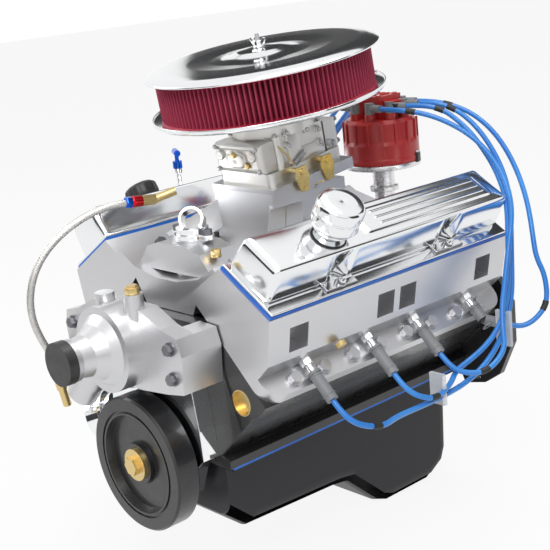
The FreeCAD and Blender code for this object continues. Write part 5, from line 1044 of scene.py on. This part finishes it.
LID_PROFILE: Profile = (
    (3.6, 190.4), (20, 190.2), (34, 188.6), (50, 184.2), (60, 182.6), (76, 182.0), (110, 183.4),
    (150, 183.6), (163, 182.2), (171, 179.8), (178, 176.2), (178, 173.4), (175.8, 173.4),
    (175.8, 175.2), (162, 180.6), (150, 182.0), (76, 180.4), (60, 181.0), (48, 183.0),
    (30, 187.6), (3.6, 188.9))
BASE_PROFILE: Profile = (
    (58, 92.1), (65, 92.1), (65, 84), (66.5, 84), (66.5, 91), (92, 91), (132, 105.5), (173, 105.5),
    (178, 108.5), (178, 114.5), (176, 114.5), (176, 110.5), (132, 107.5), (91, 93.1), (58, 93.6))
NUT_HUB: Profile = ((3.3, 190.8), (8.2, 190.8), (8.2, 192.2), (6.8, 194), (6.2, 200.5),
                    (3.3, 200.5))
NUT_WING: Profile = ((4, 192.5), (9, 192.8), (13.5, 197), (16.4, 201.5), (16.2, 204.4),
                     (13.4, 205.2), (10.4, 203.2), (7.6, 199.6), (4, 199))


@dataclass
class AirCleaner:
    """Chrome lid and base, pleated element and wing nut."""

    pleats: int = 132
    inner: float = 146.0
    outer: float = 162.6
    low: float = 111.0
    high: float = 171.0
    rim_heights: tuple = ((108.6, 112.4), (169.6, 173.3))
    wing_thick: float = 2.8
    around: int = 176

    def build(self) -> None:
        """Make the four pieces."""
        lid = Builder().turned(rounded(LID_PROFILE, 3.0, 3), CARB_FRAME, self.around)
        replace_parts(lid.piece("cleaner_lid", CHROME, "cleaner_lid", sharp=70), "air_cleaner_lid")
        base = Builder().turned(rounded(BASE_PROFILE, 2.5, 3), CARB_FRAME, self.around)
        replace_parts(base.piece("cleaner_base", CHROME, "engine", sharp=70), "air_cleaner_base")
        self.make_element()
        self.make_wing_nut()

    def make_element(self) -> None:
        """Make the pleated ring and its two moulded rims."""
        half = math.pi / self.pleats
        outline = [(self.inner, -1.0), (self.outer - 3.0, -0.42), (self.outer - 0.8, -0.30),
                   (self.outer, 0.0), (self.outer - 0.8, 0.30), (self.outer - 3.0, 0.42),
                   (self.inner, 1.0)]
        levels = [self.low, self.low + 20, self.high - 20, self.high]
        spots = [(reach * math.cos(turn * half), reach * math.sin(turn * half), z)
                 for z in levels for reach, turn in outline]
        wide = len(outline)
        faces = [(k * wide + i, k * wide + i + 1, (k + 1) * wide + i + 1, (k + 1) * wide + i)
                 for k in range(len(levels) - 1) for i in range(wide - 1)]
        mesh = bpy.data.meshes.new("pleat")
        mesh.from_pydata(spots, [], faces)
        unit = bpy.data.objects.new("pleat", mesh)
        bpy.context.scene.collection.objects.link(unit)
        ring = ring_pattern("element_pleats", unit, self.pleats, PLEAT_RED)
        settle(ring, CARB_FRAME, "engine")
        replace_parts(ring, "air_filter")
        rims = Builder()
        for heights in self.rim_heights:
            rims.collar((141, 163), heights, CARB_FRAME, 1.4, 3, 144)
        rims.turned([(145.2, 111), (146.4, 111), (146.4, 171), (145.2, 171)], CARB_FRAME, 96)
        rims.piece("element_rims", RIM_RED, "engine")

    def make_wing_nut(self) -> None:
        """Make the wing nut from a turned hub and two curved wings."""
        nut = Builder().turned(rounded(NUT_HUB, 0.8, 3), CARB_FRAME, 48)
        for half_turn in (0, 180):
            place = CARB_FRAME @ turn_z(half_turn) @ shift(0, self.wing_thick / 2, 0) @ turn_x(90)
            nut.prism(rounded(NUT_WING, 1.2, 3), 0.0, self.wing_thick, place, 0.7)
        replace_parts(nut.piece("cleaner_wing_nut", CHROME, "nut", sharp=40), "wing_nut")


# ---------------------------------------------------------------- valve covers


def smooth_step(value: float, low: float, high: float) -> float:
    """A soft step from 0 to 1 between two values."""
    part = min(1.0, max(0.0, (value - low) / (high - low)))
    return part * part * (3 - 2 * part)


@dataclass
class ValveCover:
    """One chromed cover: shell, stepped plateau, flange, bolt recesses and spreader bars."""

    side: int
    half: float = 238.0
    top: float = 66.0
    bolt_across: float = 98.0
    bolt_along: float = 111.76
    corner: float = 9.0
    straight: float = 229.0
    pitch: float = 4.6
    recess: float = 16.0
    ribs: tuple = (38.0, 50.0, 62.0)

    @property
    def word(self) -> str:
        """The bank's name."""
        return "left" if self.side > 0 else "right"

    def build(self) -> None:
        """Make the shell and its fixings."""
        place = rail_frame(self.side)
        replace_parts(self.make_shell(place), self.word + "_valve_cover")
        trim = Builder()
        for along in (-self.bolt_along, self.bolt_along):
            spot = place @ shift(self.bolt_across, along, 9.2)
            trim.block((15, 58, 2.4), spot @ shift(-3.5, 0, 1.2), 1.0)
            trim.collar((0.01, 6.6), (3, 4.4), spot)
            trim.hexagon(10.5, 5.4, spot @ shift(0, 0, 4.4))
        trim.piece(self.word + "_cover_bars", CHROME, "engine", sharp=40)

    def section(self, along: float) -> list[tuple[float, float]]:
        """The shell's outline across the rail.

        Args:
            along: The place along the rail.

        Returns:
            The outline's points, outward and up from the rail.
        """
        rest = 1 - min(1.0, (self.half - abs(along)) / self.corner)
        pull = self.corner * (1 - math.sqrt(max(0.0, 1 - rest ** 2)))
        low, high = 8.2, self.top - pull * 0.9
        inset = pull * 0.55
        dent = sum(math.exp(-((along - middle) / 15.0) ** 4)
                   for middle in (-self.bolt_along, self.bolt_along))
        shelf = high - 3.0
        raised = shelf + 3.0 * smooth_step(self.plateau(along), 0.0, 1.0)
        outline = [(5, low), (90, low), (86, shelf), (73, shelf), (70, raised), (30, raised),
                   (27, shelf), (14, shelf)]
        signs = (1, -1, -1, -1, -1, 1, 1, 1)
        outline = [(x + sign * inset, z) for (x, z), sign in zip(outline, signs)]
        out = []
        for x, z in rounded(outline, 10.0, 6):
            fade = dent * (1.0 - smooth_step(z, 44.0, 60.0)) * smooth_step(x, 60.0, 80.0)
            out.append((x - self.recess * fade, z))
        return out

    def plateau(self, along: float) -> float:
        """Where the raised top stands: behind the opening at the front of this bank."""
        rear = smooth_step(along, self.half - 34.0, self.half - 24.0)
        return smooth_step(along, -62.0, -52.0) - rear

    def make_shell(self, place: Matrix) -> bpy.types.Object:
        """Loft the shell along the rail, and add its flange and ribs.

        Args:
            place: The rail's frame.

        Returns:
            The shell object.
        """
        rests = (0, 0.4, 1.2, 2.6, 4.6, 7, 9)
        marks = {round(sign * (self.half - rest), 3) for sign in (-1, 1) for rest in rests}
        count = math.ceil(2 * self.straight / self.pitch)
        inner = (-self.straight + self.pitch * step for step in range(1, count + 1))
        marks.update(mark for mark in inner if mark < self.straight)
        shell = Builder()
        rings = []
        for along in sorted(marks):
            rings.append([shell.mesh.verts.new(place @ Vector((x, along, z)))
                          for x, z in self.section(along)])
        for here, there in zip(rings, rings[1:]):
            for index in range(len(here)):
                after = (index + 1) % len(here)
                shell.mesh.faces.new((here[index], here[after], there[after], there[index]))
        shell.mesh.faces.new(rings[0][::-1])
        shell.mesh.faces.new(rings[-1])
        shell.block((106, 487, 3.6), place @ shift(53.5, 0, 6.3), 1.6)
        for out in self.ribs:
            shell.block((4.4, 226, 5.0), place @ shift(out, 88, self.top - 1.2), 2.2, 4)
        return shell.piece(self.word + "_cover_shell", CHROME, "engine", sharp=48)


CAN_PROFILE: Profile = (
    (15.7, 60), (25.0, 71), (33, 80.2), (34, 82.4), (34, 96), (33.2, 97), (33.2, 99), (34, 100),
    (34, 110.4), (32.6, 114.6), (29, 117), (20, 118), (0.02, 118), (0.02, 117), (15, 116), (15, 60))
NECK_PROFILE: Profile = (
    (14.8, 52), (15.7, 52), (15.7, 68), (24, 68.4), (25.8, 70), (26, 74), (28.6, 76.2), (28.6, 78),
    (26, 79), (14.8, 79))
CAP_PROFILE: Profile = ((0.02, 90), (20, 90), (24.4, 88.4), (27.4, 85), (28, 74), (27.6, 69.6),
                        (25.6, 66.6), (0.02, 66.6))


@dataclass
class Breather:
    """The push-in breather on the left cover."""

    spot: Point = (50, -111, 0)

    def build(self) -> None:
        """Make the chrome canister, its rubber neck and the clamp."""
        place = rail_frame(1) @ shift(*self.spot)
        can = Builder().turned(rounded(CAN_PROFILE, 1.6, 3), place, 96)
        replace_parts(can.piece("breather_can", CHROME, "vent", sharp=60), "breather")
        neck = Builder().turned(rounded(NECK_PROFILE, 1.0, 3), place, 72)
        neck.piece("breather_neck", RUBBER, "vent")
        clamp = Builder().collar((25, 27.2), (71, 74.6), place, 0.5, count=72)
        clamp.piece("breather_clamp", CHROME, "vent")


@dataclass
class FillerCap:
    """The twist-in oil filler cap on the right cover."""

    spot: Point = (50, 111, 0)
    lobes: int = 12
    grip: float = 0.9

    def build(self) -> None:
        """Make the cap with its gripping lobes."""
        place = rail_frame(-1) @ shift(*self.spot)

        def reach(angle: float, radius: float) -> float:
            """Push the rim in between the lobes."""
            if radius <= 22:
                return radius
            return radius - self.grip * (0.5 + 0.5 * math.cos(self.lobes * angle))

        cap = Builder().turned(rounded(CAP_PROFILE, 1.4, 3), place, 144, reach)
        cap.collar((0.02, 15.4), (56, 66.8), place, 0.8, count=48)
        cap.block((34, 7, 4.0), place @ shift(0, 0, 89.6), 1.6)
        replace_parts(cap.piece("filler_cap", BLACK_PLASTIC, "filler"), "oil_filler_cap")


# ---------------------------------------------------------------- carburettor


def helix(radius: float, pitch: float, turns: float, steps: int = 18) -> list[Vector]:
    """Points of a coil spring that stands on the origin.

    Args:
        radius: The coil's radius.
        pitch: The rise of one turn.
        turns: How many turns it has.
        steps: How many points each turn gets.

    Returns:
        The points of the wire's middle.
    """
    marks = [index / steps for index in range(int(turns * steps) + 1)]
    return [Vector((radius * math.cos(2 * math.pi * mark), radius * math.sin(2 * math.pi * mark),
                    pitch * mark)) for mark in marks]


LEVER_OUTLINE: Profile = ((-14, -16), (-52, -30), (-58, -20), (-50, -6), (-30, 8), (-26, 20),
                          (-12, 22), (-6, 4))


@dataclass
class CarburettorTrim:
    """Screws, bosses, levers and springs on the carburettor body."""

    screw: float = 3.6
    bosses: tuple = ((-30, 8), (-30, 26), (10, 20), (34, 14), (34, -6))
    choke_housing: Point = (-56, -6, 60)

    def build(self) -> None:
        """Make the zinc bosses, the bright screws, the brass and the linkage."""
        self.make_castings()
        self.make_screws()
        self.make_linkage()

    def bowl_face(self, way: int, height: float) -> Matrix:
        """The outer face of the front bowl (-1) or the rear bowl (1)."""
        return CARB_FRAME @ shift(0, 82.2 * way, height) @ turn_x(90 if way < 0 else -90)

    @property
    def side_face(self) -> Matrix:
        """The body's side towards the left bank."""
        return CARB_FRAME @ shift(56.2, 0, 44) @ turn_y(90)

    @property
    def choke_face(self) -> Matrix:
        """The seat of the choke housing."""
        return CARB_FRAME @ shift(*self.choke_housing) @ turn_y(-90)

    def make_castings(self) -> None:
        """Raised pads, the side bosses and the choke housing."""

        def oval(angle: float, radius: float) -> float:
            """Stretch a round pad sideways."""
            return radius * (1 + 0.28 * math.cos(2 * angle))

        cast = Builder()
        pad = rounded([(0.02, -2), (17, -2), (17, 2.4), (14, 4.4), (0.02, 4.4)], 1.2, 3)
        ear = rounded([(0.02, -2), (8, -2), (8, 3), (6.6, 4), (0.02, 4)], 0.6, 3)
        for way in (-1, 1):
            face = self.bowl_face(way, 42)
            cast.turned(pad, face, 48, oval)
            for x in (-36, 36):
                cast.turned(ear, face @ shift(x, 6, 0), 32)
        side = self.side_face
        cast.block((44, 26, 6), side @ shift(0, -18, 0), 2.4)
        cast.block((18, 60, 5), side @ shift(12, 8, 0), 2.2)
        for y, z in self.bosses:
            cast.collar((0.02, 5.6), (-1, 4.6), side @ shift(-z, y, 0), 0.6, count=28)
        housing = rounded([(0.02, 0), (21, 0), (21, 14), (18.6, 17), (0.02, 17)], 1.4, 3)
        cast.turned(housing, self.choke_face, 56)
        cast.piece("carburettor_bosses", ZINC, "engine")

    def make_screws(self) -> None:
        """Bright fillister screws and brass jets."""
        bright, brass = Builder(), Builder()
        head = rounded([(0.02, 0), (self.screw, 0), (self.screw, 2.2), (self.screw * 0.7, 3.0),
                        (0.02, 3.0)], 0.4, 2)
        spots = []
        for way in (-1, 1):
            face = self.bowl_face(way, 42.5)
            spots += [face @ shift(x, y, 0.2) for x in (-46, 46) for y in (-17, 17)]
            brass.hexagon(8.4, 3.6, face @ shift(0, 8, 4.2))
            brass.collar((0.02, 4.6), (0, 2.4), face @ shift(22, -9, 1), count=24)
        spots += [self.side_face @ shift(-z, y, 4.6) for y, z in self.bosses]
        spots += [CARB_FRAME @ shift(x, y, 68.3) for x in (-50, 50) for y in (-46, 0, 46)]
        spots += [self.choke_face @ turn_z(turn) @ shift(16.5, 0, 16.4) for turn in (30, 150, 270)]
        for spot in spots:
            bright.turned(head, spot, 20)
        bright.piece("carburettor_screws", STEEL, "engine")
        brass.piece("carburettor_jets", BRASS, "engine")

    def make_linkage(self) -> None:
        """Yellow-plated levers, their rings, the link rod and the return springs."""
        gold, bright = Builder(), Builder()
        side = CARB_FRAME @ shift(64.5, 0, 0) @ turn_y(90) @ turn_z(180)
        gold.prism(rounded(LEVER_OUTLINE, 5, 4), -1.0, 1.0, side @ shift(0, -6, 0), 0.5)
        for x, y in ((-22, -4), (-46, -22)):
            gold.collar((3.2, 7.4), (0, 2.6), side @ shift(x, y, -3.4), 0.5)
            bright.collar((0.02, 3.0), (-4, 5.4), side @ shift(x, y, 0), 0.6, count=24)
        level = [CARB_FRAME @ (turn_y(90) @ spot + Vector((57.0, 50.0, 32.0)))
                 for spot in helix(5.0, 2.1, 6.5)]
        bright.tube(level, 0.75, 8)
        leaning = [CARB_FRAME @ (turn_x(-62) @ spot + Vector((62.0, -26.0, 22.0)))
                   for spot in helix(3.4, 1.9, 14)]
        bright.tube(leaning, 0.6, 8)
        rod = ((62, -52, 56), (63, -40, 40), (63.4, -30, 22))
        gold.tube([CARB_FRAME @ Vector(spot) for spot in rod], 1.4, 10)
        gold.piece("throttle_linkage", GOLD, "engine")
        bright.piece("return_springs", STEEL, "engine")


# ---------------------------------------------------------------- distributor


@dataclass
class DistributorTrim:
    """The moulded details of the cap, the clamps and the feed leads."""

    flutes: int = 16
    flute_reach: float = 60.2
    cover_screw: float = 19.0
    clamp_turns: tuple = (20, 200)

    def build(self) -> None:
        """Make the red mouldings, the black connectors and the metal rim."""
        red, black, metal = Builder(), Builder(), Builder()
        metal.collar((52, 62.5), (331, 339.6), DISTRIBUTOR, 1.4, 3, 96)
        foot = [(54, 341), (62.6, 341), (62.6, 349), (61.4, 351), (54, 351)]
        red.turned(rounded(foot, 1.2, 3), DISTRIBUTOR, 96)
        for step in range(self.flutes):
            turned = DISTRIBUTOR @ turn_z(360 / self.flutes * step)
            red.block((3.6, 5.0, 56), turned @ shift(self.flute_reach, 0, 380), 1.6)
        for x in (-self.cover_screw, self.cover_screw):
            for y in (-self.cover_screw, self.cover_screw):
                spot = DISTRIBUTOR @ shift(x, y, 0)
                red.collar((0.02, 4.6), (447, 449.6), spot, 0.6, count=24)
                metal.collar((0.02, 3.0), (449.4, 450.6), spot, 0.3, count=20)
        for x in (-10, 0, 10):
            red.block((3.0, 34, 3.0), DISTRIBUTOR @ shift(x, 0, 448.6), 1.2)
        for turn in self.clamp_turns:
            spot = DISTRIBUTOR @ turn_z(turn)
            black.block((9, 13, 16), spot @ shift(61.0, 0, 345), 1.6)
            metal.collar((0.02, 3.4), (350, 356), spot @ shift(62, 0, 0), 0.5, count=20)
        plug = DISTRIBUTOR @ turn_z(-8) @ shift(40, 0, 430)
        black.block((34, 22, 14), plug, 2.0)
        red.block((20, 24, 10), plug @ shift(-4, 0, 6), 2.0)
        red.piece("cap_mouldings", CAP_RED, "engine")
        black.piece("cap_connectors", BLACK_PLASTIC, "engine")
        metal.piece("cap_rim", MACHINED, "engine")


# ---------------------------------------------------------------- front and sides


@dataclass
class FrontTrim:
    """Brass plugs on the pump, the manifold and the head, and the hose ends."""

    pump_boss: Point = (36, -593, 260.2)
    manifold_plug: Point = (72, -470, 286)
    head_plug: Point = (234, -401, 167)

    def build(self) -> None:
        """Make the brass plugs and the hose ends."""
        brass = Builder()
        brass.hexagon(19, 9, shift(*self.pump_boss))
        seat = shift(*self.manifold_plug)
        brass.hexagon(13, 8, seat @ shift(0, 0, 4))
        brass.collar((0.02, 7.6), (0, 4), seat, 0.8, 3)
        brass.hexagon(15, 7, aim(self.head_plug, (0.7, 0, -0.7)) @ shift(0, 0, -2))
        brass.piece("brass_plugs", BRASS, "engine")
        self.make_hose_ends()

    def make_hose_ends(self) -> None:
        """Anodised swivel nuts and sockets at both ends of the braided hose."""
        blue, red = Builder(), Builder()
        for route in (HOSE_ROUTE, HOSE_ROUTE[::-1]):
            start, after = Vector(route[0]) / MM, Vector(route[1]) / MM
            place = aim(start, after - start)
            socket = [(5.9, 0), (8.4, 0), (8.4, 15), (7.4, 17), (5.9, 17)]
            swivel = [(5.9, 17.2), (8.8, 17.2), (8.8, 25), (7.6, 27), (5.9, 27)]
            red.turned(rounded(socket, 0.8, 3), place, 40)
            blue.turned(rounded(swivel, 0.8, 3), place, 6)
        blue.piece("hose_nuts", ANODISED, "engine")
        red.piece("hose_sockets", ANODISED_RED, "engine")


@dataclass
class BootTrim:
    """Ribs on the rubber boots over the spark plugs."""

    plugs: tuple = (-170, -49.5, 49.5, 170)
    ribs: tuple = (-9, -5, 26)

    def build(self) -> None:
        """Add moulded rings to every boot."""
        rings = Builder()
        for side in SIDES:
            for spot in self.plugs:
                place = head_frame(side) @ shift(74, spot, 33) @ turn_y(90)
                for low in self.ribs:
                    rings.collar((7.5, 9.4), (low, low + 2), place, 0.6, count=40)
        rings.piece("boot_rings", BOOT_GRAY, "engine")


# ---------------------------------------------------------------- the engine


def dress_nodes() -> None:
    """Give every CAD node its own material."""
    for name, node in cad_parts.items():
        finish = NODE_FINISHES.get(name, STEEL)
        if not node.material_slots:
            node.data.materials.append(finish.shader())
        for entry in node.material_slots:
            entry.material = finish.shader()
        LOG.info("node %s wears %s", name, finish.name)


def main() -> None:
    """Build the engine's visual model."""
    logging.basicConfig(level=logging.INFO, format="%(name)s: %(message)s")
    dress_nodes()
    parts = [PlugLeads(), FuelHose(), AirCleaner(), *(ValveCover(side) for side in SIDES),
             Breather(), FillerCap(), CarburettorTrim(), DistributorTrim(), FrontTrim(), BootTrim(),
             Studio()]
    for part in parts:
        part.build()
        LOG.info("built %s", type(part).__name__)


if __name__ == "__main__":
    main()
